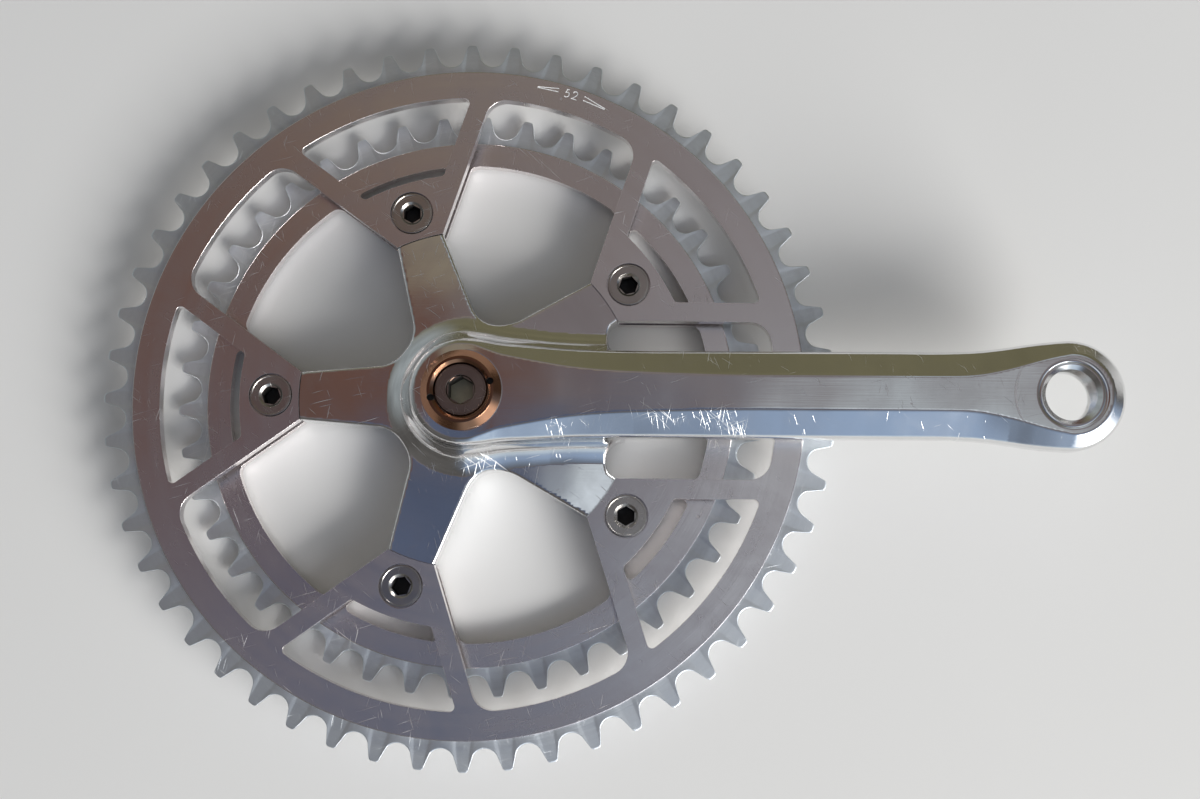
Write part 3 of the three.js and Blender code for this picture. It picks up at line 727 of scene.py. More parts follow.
@dataclass(frozen=True)
class GreaseAndShade:
    """Old dark grease as it gathers in a socket, near black so that it also stands for the painted
    shade down in deep sockets and holes.
    """

    name: str
    colour: tuple[float, float, float]
    shared: dict = field(default_factory=dict, compare=False)

    def make(self) -> bpy.types.Material:
        """The finish as a material."""
        material = bpy.data.materials.new(self.name)
        material.use_nodes = True
        wire = Wiring(material.node_tree)
        shader = material.node_tree.nodes["Principled BSDF"]
        place = wire.add("ShaderNodeTexCoord").outputs["Object"]
        handling = wire.group(self.shared["handling"], {"Vector": place, "Size": 400.0})
        smudge = handling.outputs["Smudge"]
        paler = tuple(2.2 * c for c in self.colour)
        colour = wire.mix(smudge, (*self.colour, 1), (*paler, 1))
        material.node_tree.links.new(colour, shader.inputs["Base Color"])
        rough = wire.spread(smudge, 0, 1, 0.35, 0.7)
        material.node_tree.links.new(rough, shader.inputs["Roughness"])
        return material


class Finishes:
    """All the finishes, made once and shared by the pieces."""

    def __init__(self) -> None:
        """Makes the shared effects and the materials."""
        shared = {"scratches": scratches_group(), "turning": turning_group(),
                  "handling": handling_group()}

        def metal(name: str, *looks: object, **wear: object) -> bpy.types.Material:
            """A metal's material, from its looks and its wear."""
            return Metal(name, *looks, **wear, shared=shared).make()

        self.polished = metal(
            "polished_forging", (0.84, 0.84, 0.84), (0.78, 0.78, 0.78), 0.08, smudged=0.09,
            scratched=0.2, dinged=0.25, grain=(60.0, 2600.0, 900.0), grain_depth=0.12, wavy=0.0003,
            worn=(WornPatch((0.06, -0.0075, 0.028), 0.006, 9.0, 0.5),
                  WornPatch((0.078, -0.0095, 0.027), 0.009, 2.2, 0.38),
                  WornPatch((0.002, -0.021, 0.018), 0.014, 1.3, 0.45),
                  WornPatch((0.022, -0.0105, 0.026), 0.006, 2.5, 0.4)),
            rubbed=(WornArc((0.17, 0, 0), 0.0156, 0.0004),))
        self.satin = metal(
            "satin_ring", (0.84, 0.80, 0.79), (0.76, 0.71, 0.71), 0.2, smudged=0.05, scratched=0.12,
            dinged=0.5, turned=0.25, streaks=0.05, anisotropy=0.4)
        self.teeth = metal(
            "tooth_alloy", (0.87, 0.93, 0.97), (0.58, 0.61, 0.64), 0.34, smudged=0.12,
            scratched=0.3, dinged=0.4, turned=0.8, streaks=0.08)
        # Brown-orange colour: a painted reflection of a warm room on the extractor ring's chrome.
        self.chrome_with_painted_reflection = metal(
            "chromed_steel", (0.36, 0.19, 0.11), (0.27, 0.14, 0.09), 0.07, smudged=0.06,
            scratched=0.15, turned=0.1, lines=5000.0)
        self.zinc = metal(
            "zinc_steel", (0.60, 0.60, 0.61), (0.48, 0.47, 0.47), 0.3, smudged=0.15, scratched=0.4,
            dinged=0.3, turned=0.3)
        self.crank_bolt = metal(
            "crank_bolt_steel", (0.36, 0.29, 0.25), (0.26, 0.20, 0.17), 0.18, smudged=0.1,
            scratched=0.3, turned=0.5, lines=5000.0)
        self.bolt_steel = metal(
            "ring_bolt_steel", (0.58, 0.55, 0.51), (0.44, 0.41, 0.38), 0.2, smudged=0.12,
            scratched=0.3)
        self.marks = metal("stamped_mark", (0.97, 0.97, 0.97), (0.9, 0.9, 0.9), 0.7, scratched=0.0)
        self.socket_floor = metal(
            "dulled_steel", (0.66, 0.62, 0.46), (0.52, 0.49, 0.36), 0.5, scratched=0.1)
        # Near-black grease, which also serves as painted shade in the depth of sockets and holes.
        self.grease_and_shade = GreaseAndShade("socket_grease_and_shade", (0.012, 0.011, 0.010), shared=shared).make()


# ---- Chainrings ------------------------------------------------------------------------------


def stroke(points: Sequence[np.ndarray], width: float) -> list[np.ndarray]:
    """The outline of a line of some width, with mitred bends.

    Args:
        points: The line's points, in order.
        width: Half its width.

    Returns:
        A closed outline.
    """
    runs = [(b - a) / np.linalg.norm(b - a) for a, b in zip(points, points[1:])]
    left, right = [], []
    for i, at in enumerate(points):
        before, after = runs[max(i - 1, 0)], runs[min(i, len(runs) - 1)]
        across = np.array([-before[1] - after[1], before[0] + after[0]])
        across *= width / (across @ across)
        left.append(at + across)
        right.append(at - across)
    return [*left, *right[::-1]]


@dataclass(frozen=True)
class CountMark:
    """The tooth count, stamped into a ring's face between two slender wedges.

    Strokes run through points given along the rim and outwards, from the mark's middle.
    """

    radius: float = 96.5
    angle: float = 72.5
    depth: float = 0.1
    width: float = 0.3
    half_angle: float = 8.0
    half_height: float = 1.7
    five: tuple = ((-0.75, 1.2), (-1.5, 1.2), (-1.62, 0.2), (-1.1, 0.38), (-0.6, 0.15),
                   (-0.48, -0.4), (-0.75, -0.95), (-1.25, -1.2), (-1.75, -1.05))
    two: tuple = ((0.55, 0.6), (0.7, 1.05), (1.2, 1.25), (1.75, 1.1), (1.9, 0.6), (1.65, 0.05),
                  (0.55, -1.15), (2.1, -1.15))
    left_wedge: tuple = (((-3.9, 0.7), (-10.3, -0.75)), ((-3.9, -0.35), (-10.3, -0.95)))
    right_wedge: tuple = (((4.1, 0.7), (11.1, -1.1)), ((4.0, -0.6), (11.1, -1.35)))

    def stamp(self, ring: bpy.types.Object, face: float) -> None:
        """Cuts the mark into a ring.

        Args:
            ring: The ring, in millimetres.
            face: Height of its outboard face.
        """
        middle = polar(self.radius, self.angle)
        along, out = polar(1, self.angle - 90), polar(1, self.angle)
        for line in (self.five, self.two, *self.left_wedge, *self.right_wedge):
            points = [middle + a * along + b * out for a, b in line]
            combine(ring, slab("stroke", stroke(points, self.width), face - self.depth, face + 1))

    def holds(self, face: bpy.types.MeshPolygon, height: float) -> bool:
        """Whether a face in metres lies in the cut strokes.

        Args:
            face: The face.
            height: Height of the ring's outboard face, in millimetres.

        Returns:
            True where it does.
        """
        x, y, z = face.center / MM
        turn, radius = math.degrees(math.atan2(y, x)), math.hypot(x, y)
        across = abs(turn - self.angle) < self.half_angle
        near = across and abs(radius - self.radius) < self.half_height
        return near and height - self.depth - 0.01 < z < height - 0.004


@dataclass
class Chainring:
    """A toothed ring, with a large window between two arms and a small one outside each bolt."""

    name: str
    node: str
    teeth: int
    first_tooth: float
    back: float
    thickness: float
    rim_width: float
    window_corner: float
    fastener_recess: tuple[float, float]
    mark: CountMark | None = None
    chain_pitch: float = 12.7
    roller: float = 7.9
    seat_clearance: float = 0.02
    seat_half_angle: float = 60.0
    root_to_step: float = 2.2
    tooth_height: float = 2.66
    tooth_tip: float = 2.6
    tooth_setback: float = 0.7
    tooth_plate: float = 2.1
    tooth_slope: float = 0.1
    tooth_land: float = 1.3
    tooth_edge: float = 0.5
    tooth_overlap: float = 2.0
    bolt_radius: float = 58.0
    tab_inner: float = 49.7
    tab_outer: float = 67.2
    tab_half: float = 7.07
    strut: float = 5.7
    slot_corner: float = 1.5
    window_mouth: float = 42.0
    recess_radius: float = 6.4
    hole_radius: float = 5.2
    chamfer: float = 0.75
    chamfer_depth: float = 0.45
    rim_edge: float = 0.45
    recess_edge: float = 0.2
    back_edge: float = 0.35

    @property
    def pitch_radius(self) -> float:
        """Radius of the chain's pitch circle."""
        return self.chain_pitch / (2 * math.sin(math.pi / self.teeth))

    @property
    def step(self) -> float:
        """Radius where the thick body ends."""
        return self.pitch_radius - self.roller / 2 - self.root_to_step

    @property
    def rim(self) -> float:
        """Radius of the rim's inner edge."""
        return self.step - self.rim_width

    @property
    def window_half(self) -> float:
        """Half the width of a large window."""
        spread = math.radians(HALF_SECTOR) - math.asin(self.tab_half / self.tab_inner)
        return self.tab_inner * math.sin(spread)

    def corner(self, offset: float, circle: float, radius: float, side: int,
               within: bool) -> list[np.ndarray]:
        """The fillet between a line parallel to +X and a circle about the origin.

        Args:
            offset: The line's distance to the left of +X.
            circle: The circle's radius.
            radius: The fillet's radius.
            side: 1 if the fillet lies left of the line, -1 if right.
            within: Whether it lies within the circle.

        Returns:
            Points from the line to the circle.
        """
        reach = circle - radius if within else circle + radius
        across = offset + side * radius
        centre = np.array([math.sqrt(reach ** 2 - across ** 2), across])
        towards = math.degrees(math.atan2(centre[1], centre[0])) + (0 if within else 180)
        sweep = (towards + 90 * side + 180) % 360 - 180
        return arc(centre, radius, -90 * side, -90 * side + sweep, 10)

    def large_window(self) -> bpy.types.Object:
        """The tool for a window between two spider arms, on +X."""
        upper = self.corner(self.window_half, self.rim, self.window_corner, -1, True)
        reach = math.degrees(math.atan2(upper[-1][1], upper[-1][0]))
        edge = arc((0, 0), self.rim, reach, -reach, 2)[1:-1]
        mouth = [(self.window_mouth, -self.window_half), (self.window_mouth, self.window_half)]
        return slab("large_window", [*upper, *edge, *mirrored(upper), *mouth], *THROUGH)

    def bolt_window(self) -> bpy.types.Object:
        """The tool for the window between two struts, outside a bolt on +X."""
        offset = self.window_half + self.strut
        inner = self.corner(offset, self.tab_outer, self.slot_corner, 1, False)
        inner = turned(inner, -HALF_SECTOR)[::-1]
        outer = turned(self.corner(offset, self.rim, self.slot_corner, 1, True), -HALF_SECTOR)
        reach = math.degrees(math.atan2(outer[-1][1], outer[-1][0]))
        inside = math.degrees(math.atan2(inner[0][1], inner[0][0]))
        rim = arc((0, 0), self.rim, reach, -reach, 2)[1:-1]
        tab = arc((0, 0), self.tab_outer, -inside, inside, 2)[1:-1]
        outline = [*inner, *outer, *rim, *mirrored(outer), *mirrored(inner), *tab]
        return slab("bolt_window", outline, *THROUGH)

    def tooth_profile(self) -> list[np.ndarray]:
        """One tooth on +X, from the middle of one gap to the middle of the next.

        Returns:
            A closed outline.
        """
        pitch = 360 / self.teeth
        tip = self.pitch_radius + self.tooth_height
        half = math.degrees(self.tooth_tip / 2 / tip)
        gap = polar(self.pitch_radius, pitch / 2)
        root = pitch / 2 + 180
        radius = self.roller / 2 + self.seat_clearance
        seat = arc(gap, radius, root + self.seat_half_angle, root, 10)
        crest = rounded([(polar(tip, -half), 0.0), (polar(tip, half), 1.0), (seat[0], 0.0)], 22)
        upper = [*crest[1:-1], *seat]
        lower = mirrored(upper)
        return [*lower, polar(tip, 0), *upper]

    def tooth(self) -> bpy.types.Object:
        """One pitch of the tooth plate, open where it meets the next.

        Returns:
            The tooth, in millimetres.
        """
        outline = self.tooth_profile()
        inner_radius = self.step - self.tooth_overlap
        pitch = 360 / self.teeth
        count = len(outline)
        inner = [polar(inner_radius, pitch * (i / (count - 1) - 0.5)) for i in range(count)]
        bottom = self.back + self.tooth_setback
        points = [(x, y, bottom) for x, y in [*outline, *inner]]
        faces = [(i, i + 1, count + i + 1, count + i) for i in range(count - 1)]
        obj = draw_up(new_piece("tooth", points, faces=faces), self.tooth_plate)

        def at_neighbour(face: bmesh.types.BMFace) -> bool:
            """Whether a face lies against the next tooth."""
            middle = face.calc_center_median()
            turn = abs(math.degrees(math.atan2(middle.y, middle.x)))
            return abs(turn - pitch / 2) < 1e-3

        def exposed(edge: bmesh.types.BMEdge) -> bool:
            """Whether an edge is a sharp one that stands out of the ring's body."""
            return is_sharp(edge, 60) and min(v.co.xy.length for v in edge.verts) > self.step

        edit_some(obj, "FACE", at_neighbour, lambda: bpy.ops.mesh.delete(type="FACE"))
        round_edges(obj, exposed, self.tooth_edge)
        for vertex in obj.data.vertices:
            beyond = max(0.0, vertex.co.xy.length - (self.step + self.tooth_land))
            share = (vertex.co.z - bottom) / self.tooth_plate
            vertex.co.z += beyond * self.tooth_slope * (0.6 * (1 - share) - share)
        return obj

    def tooth_ring(self) -> bpy.types.Object:
        """The whole tooth plate, as one tooth copied round.

        Returns:
            All the teeth, as one solid.
        """
        first = self.tooth()
        pitch = 360 / self.teeth
        angles = [self.first_tooth + k * pitch for k in range(self.teeth)]
        ring = [copied(first, f"tooth_{k}", angle) for k, angle in enumerate(angles)]
        bpy.data.objects.remove(first)
        plate = joined(ring, "tooth_plate")
        return edit(plate, lambda: bpy.ops.mesh.remove_doubles(threshold=2e-3),
                    lambda: bpy.ops.mesh.normals_make_consistent(inside=False))

    def build(self) -> bpy.types.Object:
        """Models the ring and returns it, in metres.

        Returns:
            The finished ring.
        """
        top = self.back + self.thickness
        first_bolt = (self.bolt_radius, 0)
        ring = drum(self.name, self.step, self.back, top, sides=240)
        combine(ring, drum("opening", self.tab_inner, *THROUGH, sides=160))
        combine(ring, around(self.large_window, "large_windows", HALF_SECTOR))
        combine(ring, around(self.bolt_window, "bolt_windows"))
        hole = lambda: drum("hole", self.hole_radius, *THROUGH, first_bolt, sides=48)
        combine(ring, around(hole, "holes"))
        recess = lambda: drum("recess", self.recess_radius, *self.fastener_recess, first_bolt,
                              sides=64)
        combine(ring, around(recess, "recesses"))
        self.soften(ring, top)
        combine(ring, self.tooth_ring(), "UNION")
        if self.mark:
            self.mark.stamp(ring, top)
        return machined(ring)

    def soften(self, ring: bpy.types.Object, top: float) -> None:
        """Rounds and chamfers the body's edges.

        Args:
            ring: The ring's body, in millimetres.
            top: Height of its outboard face.
        """
        bolts = [polar(self.bolt_radius, angle) for angle in ARM_ANGLES]

        def at_height(edge: bmesh.types.BMEdge, height: float) -> bool:
            """Whether a sharp edge lies at a height."""
            return is_sharp(edge) and all(abs(v.co.z - height) < 1e-3 for v in edge.verts)

        def outermost(edge: bmesh.types.BMEdge) -> bool:
            """Whether an edge runs round the body's rim."""
            return all(v.co.xy.length > self.step - 0.3 for v in edge.verts)

        def at_bolt(edge: bmesh.types.BMEdge) -> bool:
            """Whether an edge belongs to a bolt's recess."""
            middle = edge.verts[0].co.xy
            return any((middle - Vector(at)).length < self.recess_radius + 0.2 for at in bolts)

        def at_window(edge: bmesh.types.BMEdge) -> bool:
            """Whether an edge of the outboard face is any other."""
            return at_height(edge, top) and not (outermost(edge) or at_bolt(edge))

        round_edges(ring, lambda e: at_height(e, top) and outermost(e), self.rim_edge)
        round_edges(ring, lambda e: at_height(e, top) and at_bolt(e), self.recess_edge)
        round_edges(ring, at_window, self.chamfer, 1)
        for vertex in ring.data.vertices:
            if abs(vertex.co.z - top + self.chamfer) < 1e-3:
                vertex.co.z = top - self.chamfer_depth
        round_edges(ring, lambda e: at_height(e, self.back), self.back_edge)

    def dress(self, ring: bpy.types.Object, finishes: Finishes) -> None:
        """Gives the body, the teeth and the mark their finishes.

        Args:
            ring: The ring, in metres.
            finishes: The crankset's finishes.
        """
        hand_over(ring, self.node, Body.ROOT, [finishes.satin, finishes.teeth])
        body_end = (self.step + 0.02) * MM
        paint(ring, 1, lambda face: face.center.xy.length > body_end)
        if self.mark:
            ring.data.materials.append(finishes.marks)
            paint(ring, 2, lambda face: self.mark.holds(face, self.back + self.thickness))


# ---- Crank arm -------------------------------------------------------------------------------


def round_union(a: np.ndarray, b: np.ndarray, radius: float | np.ndarray) -> np.ndarray:
    """Distance to two solids joined with a fillet."""
    hollow = np.hypot(np.maximum(radius - a, 0), np.maximum(radius - b, 0))
    return np.maximum(radius, np.minimum(a, b)) - hollow


def round_meet(a: np.ndarray, b: np.ndarray, radius: float | np.ndarray) -> np.ndarray:
    """Distance to what two solids share, with a rounded edge."""
    corner = np.hypot(np.maximum(radius + a, 0), np.maximum(radius + b, 0))
    return np.minimum(-radius, np.maximum(a, b)) + corner


def smooth_curve(points: Sequence[Point]) -> tuple[np.ndarray, np.ndarray]:
    """Even samples of a smooth curve through some points.

    Args:
        points: Places and values, in order of place.

    Returns:
        Places and values, as two arrays.
    """
    x, y = np.array(points, float).T
    slope = np.gradient(y, x)
    fine = np.linspace(x[0], x[-1], 600)
    k = np.clip(np.searchsorted(x, fine, side="right") - 1, 0, len(x) - 2)
    width = x[k + 1] - x[k]
    s = (fine - x[k]) / width
    first = (1 + 2 * s) * (1 - s) ** 2 * y[k] + s * (1 - s) ** 2 * width * slope[k]
    last = s ** 2 * (3 - 2 * s) * y[k + 1] + s ** 2 * (s - 1) * width * slope[k + 1]
    return fine, first + last


class PlanTable:
    """Signed distances from a closed outline, on an even grid."""

    def __init__(self, outline: Sequence[np.ndarray], reach: float = 67,
                 spacing: float = 0.25) -> None:
        """Measures the distances.

        Args:
            outline: The outline's points in order.
            reach: Half the grid's width.
            spacing: The grid's step.
        """
        self.reach = reach
        self.spacing = spacing
        axis = np.arange(-reach, reach + spacing, spacing)
        self.x, self.y = np.meshgrid(axis, axis, indexing="ij")
        nearest = np.full(self.x.shape, np.inf)
        inside = np.zeros(self.x.shape, bool)
        for a, b in zip(outline, [*outline[1:], outline[0]]):
            run, rise = b - a
            share = ((self.x - a[0]) * run + (self.y - a[1]) * rise) / (run ** 2 + rise ** 2)
            share = np.clip(share, 0, 1)
            off = np.hypot(self.x - a[0] - share * run, self.y - a[1] - share * rise)
            nearest = np.minimum(nearest, off)
            if rise:
                level = (a[1] > self.y) != (b[1] > self.y)
                inside ^= level & (self.x < a[0] + (self.y - a[1]) * run / rise)
        self.values = np.where(inside, -nearest, nearest)

    def trim(self, radius: float) -> None:
        """Keeps what lies within a circle about the origin."""
        self.values = np.maximum(self.values, np.hypot(self.x, self.y) - radius)

    def add_strip(self, degrees: float, start: float, end: float, half: float, tip: float) -> None:
        """Adds a strip along a heading, with a round end about its last point.

        Args:
            degrees: The heading.
            start: Distance out to its inner end.
            end: Distance out to its last point.
            half: Half its width.
            tip: Radius of the round end.
        """
        c, s = math.cos(math.radians(degrees)), math.sin(math.radians(degrees))
        along, across = c * self.x + s * self.y, c * self.y - s * self.x
        strip = np.maximum(np.abs(across) - half, np.maximum(start - along, along - end))
        round_end = np.hypot(along - end, across) - tip
        self.values = np.minimum(self.values, np.minimum(strip, round_end))

    def at(self, x: np.ndarray, y: np.ndarray) -> np.ndarray:
        """The distance at each point.

        Args:
            x: Places along X.
            y: Places along Y.

        Returns:
            Distances, negative inside.
        """
        limit = self.values.shape[0] - 1.001
        u = np.clip((x + self.reach) / self.spacing, 0, limit)
        v = np.clip((y + self.reach) / self.spacing, 0, limit)
        i, j = u.astype(int), v.astype(int)
        u, v = u - i, v - j
        t = self.values
        near = t[i, j] * (1 - v) + t[i, j + 1] * v
        far = t[i + 1, j] * (1 - v) + t[i + 1, j + 1] * v
        return near * (1 - u) + far * u


@dataclass
class Forging:
    """The crank arm's forged skin, as a distance field in millimetres."""

    length: float = 170.0
    hub_face: float = 27.6
    rise: float = 6.2
    back_at_hub: float = 12.5
    back_rise: float = 8.5
    bevel_drop: float = 5.0
    bevel_slope: float = 0.75
    back_chamfer: float = 2.5
    spider_back: float = 2.6
    spider_face: float = 11.6
    camber: float = 1.1
    crease: float = 0.25
    shoulder: float = 49.4
    tab_inner: float = 49.7
    tab_half: float = 7.07
    tab_end: float = 58.0
    tab_eye: float = 7.8
    web_radius: float = 23.2
    web_flank: float = 21.5
    root_half: float = 9.3
    arm_side: float = 12.6
    root_end: float = 46.4
    notch_depth: float = 3.4
    notch_corner: float = 5.4
    flare_angle: float = 29.7
    flare_fillet: float = 14.0
    flank_fillet: float = 8.0
    web_fillet: float = 9.5
    gusset_fillet: float = 8.5
    boss_fillet: float = 10.4
    arm_edge: float = 1.0
    spider_edge: float = 0.85
    keel_length: float = 34.0
    keel_half: float = 9.0
    keel_end: float = 17.5
    keel_edge: float = 1.5
    keel_fillet: float = 2.0
    hub_back_radius: float = 16.5
    hub_dish: float = 0.09
    top_half: tuple = ((0, 13.85), (3, 13.5), (6, 12.45), (10, 10.95), (15, 9.85), (20, 8.9),
                       (30, 7.25), (40, 6.25), (50, 5.75), (60, 5.4), (70, 5.1), (80, 4.92),
                       (95, 4.9), (110, 4.9), (125, 4.9), (135, 4.92), (140, 5.0), (145, 5.4),
                       (150, 6.35), (155, 7.55), (160, 9.0), (165, 10.3), (170, 11.3))
    side_half: tuple = ((0, 15.5), (5, 15.0), (10, 14.2), (20, 13.5), (30, 12.9), (40, 12.6),
                        (50, 12.45), (60, 12.4), (80, 12.4), (100, 12.4), (120, 12.4), (140, 12.5),
                        (145, 12.75), (150, 13.3), (155, 14.0), (160, 14.7), (165, 15.2),
                        (170, 15.5))

    def __post_init__(self) -> None:
        """Prepares the curves and the spider's plan."""
        self.top_curve = smooth_curve(self.top_half)
        self.side_curve = smooth_curve(self.side_half)
        self.plan = PlanTable(self.spider_outline())
        self.plan.trim(self.shoulder)
        for angle in ARM_ANGLES:
            self.plan.add_strip(angle, 40, self.tab_end, self.tab_half, self.tab_eye)

    def spider_outline(self) -> list[np.ndarray]:
        """The spider seen from outboard, up to and beyond the shoulder.

        Returns:
            A closed outline.
        """
        def side_of(angle: float, side: int) -> tuple[np.ndarray, np.ndarray]:
            """A spider arm's edge, from its tab to its root."""
            across = polar(side, angle + 90)
            return (polar(self.tab_inner, angle) + self.tab_half * across,
                    polar(self.web_radius, angle) + self.root_half * across)

        def beyond(outer: np.ndarray, inner: np.ndarray) -> np.ndarray:
            """A point on past an edge's outer end."""
            return outer + 4 * (outer - inner) / np.linalg.norm(outer - inner)

        corner = polar(self.tab_inner, HALF_SECTOR) + self.tab_half * polar(1, HALF_SECTOR - 90)
        web = polar(self.web_radius, 4 * HALF_SECTOR)
        chord = (web, web + polar(1, 4 * HALF_SECTOR + 90))
        first = side_of(ARM_ANGLES[0], 1)[0]
        flare = (first, first + polar(1, self.flare_angle))
        flank = (np.array([0, self.web_flank]), np.array([1, self.web_flank]))
        plain = [side_of(ARM_ANGLES[1], -1), side_of(ARM_ANGLES[1], 1), side_of(ARM_ANGLES[2], -1)]
        notch, notch_top = corner[0] - self.notch_depth, corner[1] + 0.6
        upper = [
            ((self.root_end, self.arm_side - 0.4), 0),
            ((notch, self.arm_side), self.notch_corner),
            ((notch, notch_top), self.notch_corner),
            ((corner[0] + 5, notch_top), 0),
            (first + polar(5, self.flare_angle), 0),
            (crossing(*flare, *flank), self.flare_fillet),
            (crossing(*plain[0], *flank), self.flank_fillet),
            (beyond(*plain[0]), 0),
            (beyond(*plain[1]), 0),
            (crossing(*plain[1], *chord), self.web_fillet),
            (crossing(*plain[2], *chord), self.web_fillet),
            (beyond(*plain[2]), 0),
        ]
        lower = [((at[0], -at[1]), radius) for at, radius in reversed(upper)]
        return rounded([*upper, *lower], 6)

    def distance(self, x: np.ndarray, y: np.ndarray, z: np.ndarray) -> np.ndarray:
        """Signed distance from the skin, negative inside.

        Args:
            x: Places along X.
            y: Places along Y.
            z: Heights.

        Returns:
            Distances in millimetres.
        """
        lateral = np.hypot(x - np.clip(x, 0, self.length), y)
        half = np.interp(x, *self.top_curve)
        side_half = np.interp(x, *self.side_curve)
        drop = np.minimum(self.bevel_drop, self.bevel_slope * (side_half - half))
        top = self.hub_face + self.rise / self.length * np.maximum(x, 0)
        top -= self.hub_dish * np.clip(np.hypot(x, y) - 11.5, 0, 4) * np.clip(1 - x / 9, 0, 1)
        back_at = self.back_at_hub + self.back_rise / self.length * x
        face = z - top
        bevel = (lateral - half) * drop + face * (side_half - half)
        bevel /= np.hypot(drop, side_half - half)
        side = lateral - side_half
        back = back_at - z
        column = round_meet(round_meet(face, bevel, 0.3), side, self.arm_edge)
        under = (side + back + self.back_chamfer) / math.sqrt(2)
        bar = round_meet(round_meet(column, under, self.arm_edge), back, 0.8)

        widening = (self.boss_fillet - self.gusset_fillet) * np.clip(1 - x / 25, 0, 1)
        outward = np.clip((np.hypot(x, y) - 20) / (self.shoulder - 20), 0, 1)
        spider_top = self.spider_face - 0.1 + self.camber * (1 - outward ** 2)
        gusset = z - spider_top + self.crease
        front = round_union(column, gusset, self.gusset_fillet + widening)
        front = np.minimum(front, z - spider_top)
        spider = round_meet(front, self.plan.at(x, y), self.spider_edge)
        spider = round_meet(spider, self.spider_back - z, 1.0)

        start, slope = self.root_end, (self.keel_end - self.spider_back) / self.keel_length
        rib = self.spider_back + slope * np.maximum(x - start, 0) - z
        keel = round_meet(np.abs(y) - self.keel_half, rib / math.hypot(1, slope), self.keel_edge)
        keel = np.maximum(keel, np.maximum(z - self.keel_end - 1, start - 6 - x))
        keel = np.maximum(keel, x - start - self.keel_length)
        drum_wall = np.hypot(x, y) - self.hub_back_radius
        hub_back = np.maximum(round_meet(drum_wall, -z, 0.7), z - 8)
        whole = round_union(np.minimum(bar, spider), keel, self.keel_fillet)
        return round_union(whole, hub_back, 1.5)

    def slope(self, points: np.ndarray) -> np.ndarray:
        """The field's gradient at each point.

        Args:
            points: Points in rows.

        Returns:
            Gradients in rows.
        """
        gradient = np.empty_like(points)
        for axis in range(3):
            step = np.zeros(3)
            step[axis] = 0.02
            ahead, behind = (points + step).T, (points - step).T
            gradient[:, axis] = (self.distance(*ahead) - self.distance(*behind)) / 0.04
        return gradient

    def skin(self) -> bpy.types.Object:
        """The forging's surface, as a closed mesh of quads.

        Returns:
            The solid, in millimetres.
        """
        def stations(*spans: tuple[float, float, float]) -> np.ndarray:
            """Places along one axis, from spans of a start, an end and a step."""
            counts = [round((end - start) / step) for start, end, step in spans]
            parts = [np.arange(start, end - 1e-6, (end - start) / count)
                     for (start, end, _), count in zip(spans, counts)]
            return np.concatenate([*parts, [spans[-1][1]]])

        x = stations((-67, -30, 0.9), (-30, 50, 0.6), (50, 148, 1.5), (148, 186.4, 0.7))
        side = stations((0, 25, 0.42), (25, 64, 0.8))
        y = np.concatenate([-side[:0:-1], side])
        z = stations((-0.4, 34.8, 0.45))
        cells = np.meshgrid(x, y, z, indexing="ij")
        values = self.distance(*cells)
        points, quads = surface_net(values, x, y, z)
        for _ in range(3):
            gradient = self.slope(points)
            size = np.maximum((gradient ** 2).sum(axis=1), 0.2)
            move = (self.distance(*points.T) / size)[:, None] * gradient
            length = np.linalg.norm(move, axis=1, keepdims=True)
            points = points - move * np.minimum(1, 0.25 / np.maximum(length, 1e-9))
        return new_piece("crank_arm_forging", points, faces=quads.tolist())


def surface_net(values: np.ndarray, *axes: np.ndarray) -> tuple[np.ndarray, np.ndarray]:
    """The surface where a sampled field is zero.

    Args:
        values: The field on a grid, negative inside.
        axes: The grid's stations along each of its three axes.

    Returns:
        Points, and quads that face outwards.
    """
    inside = values < 0
    shape_of = tuple(n - 1 for n in values.shape)
    total = np.zeros((*shape_of, 3))
    count = np.zeros(shape_of)
    corners = [(a, b) for a in (0, 1) for b in (0, 1)]
    for axis in range(3):
        across = [k for k in range(3) if k != axis]
        low = [slice(None)] * 3
        high = [slice(None)] * 3
        low[axis], high[axis] = slice(None, -1), slice(1, None)
        first, last = values[tuple(low)], values[tuple(high)]
        cut = (first < 0) != (last < 0)
        share = np.where(cut, first / np.where(cut, first - last, 1), 0)
        for offset in corners:
            window = [slice(None)] * 3
            for k, o in zip(across, offset):
                window[k] = slice(o, o + shape_of[k])
            here, part = cut[tuple(window)], share[tuple(window)]
            count += here
            total[..., axis] += np.where(here, part, 0)
            for k, o in zip(across, offset):
                total[..., k] += here * o
    used = count > 0
    number = np.full(shape_of, -1)
    number[used] = np.arange(used.sum())
    place = total[used] / count[used][:, None]
    where = np.argwhere(used)
    points = np.empty_like(place)
    for axis, stations in enumerate(axes):
        start = stations[where[:, axis]]
        points[:, axis] = start + place[:, axis] * (stations[where[:, axis] + 1] - start)

    quads = []
    for axis in range(3):
        b, c = [(axis + 1) % 3, (axis + 2) % 3]
        low = [slice(1, -1)] * 3
        high = [slice(1, -1)] * 3
        low[axis], high[axis] = slice(None, -1), slice(1, None)
        starts, ends = inside[tuple(low)], inside[tuple(high)]
        for flipped, edges in ((False, starts & ~ends), (True, ~starts & ends)):
            at = np.argwhere(edges)
            at[:, b] += 1
            at[:, c] += 1
            ring = []
            for ob, oc in ((1, 1), (0, 1), (0, 0), (1, 0)):
                cell = at.copy()
                cell[:, b] -= ob
                cell[:, c] -= oc
                ring.append(number[tuple(cell.T)])
            quad = np.stack(ring[::-1] if flipped else ring, axis=1)
            quads.append(quad)
    return points, np.concatenate(quads)


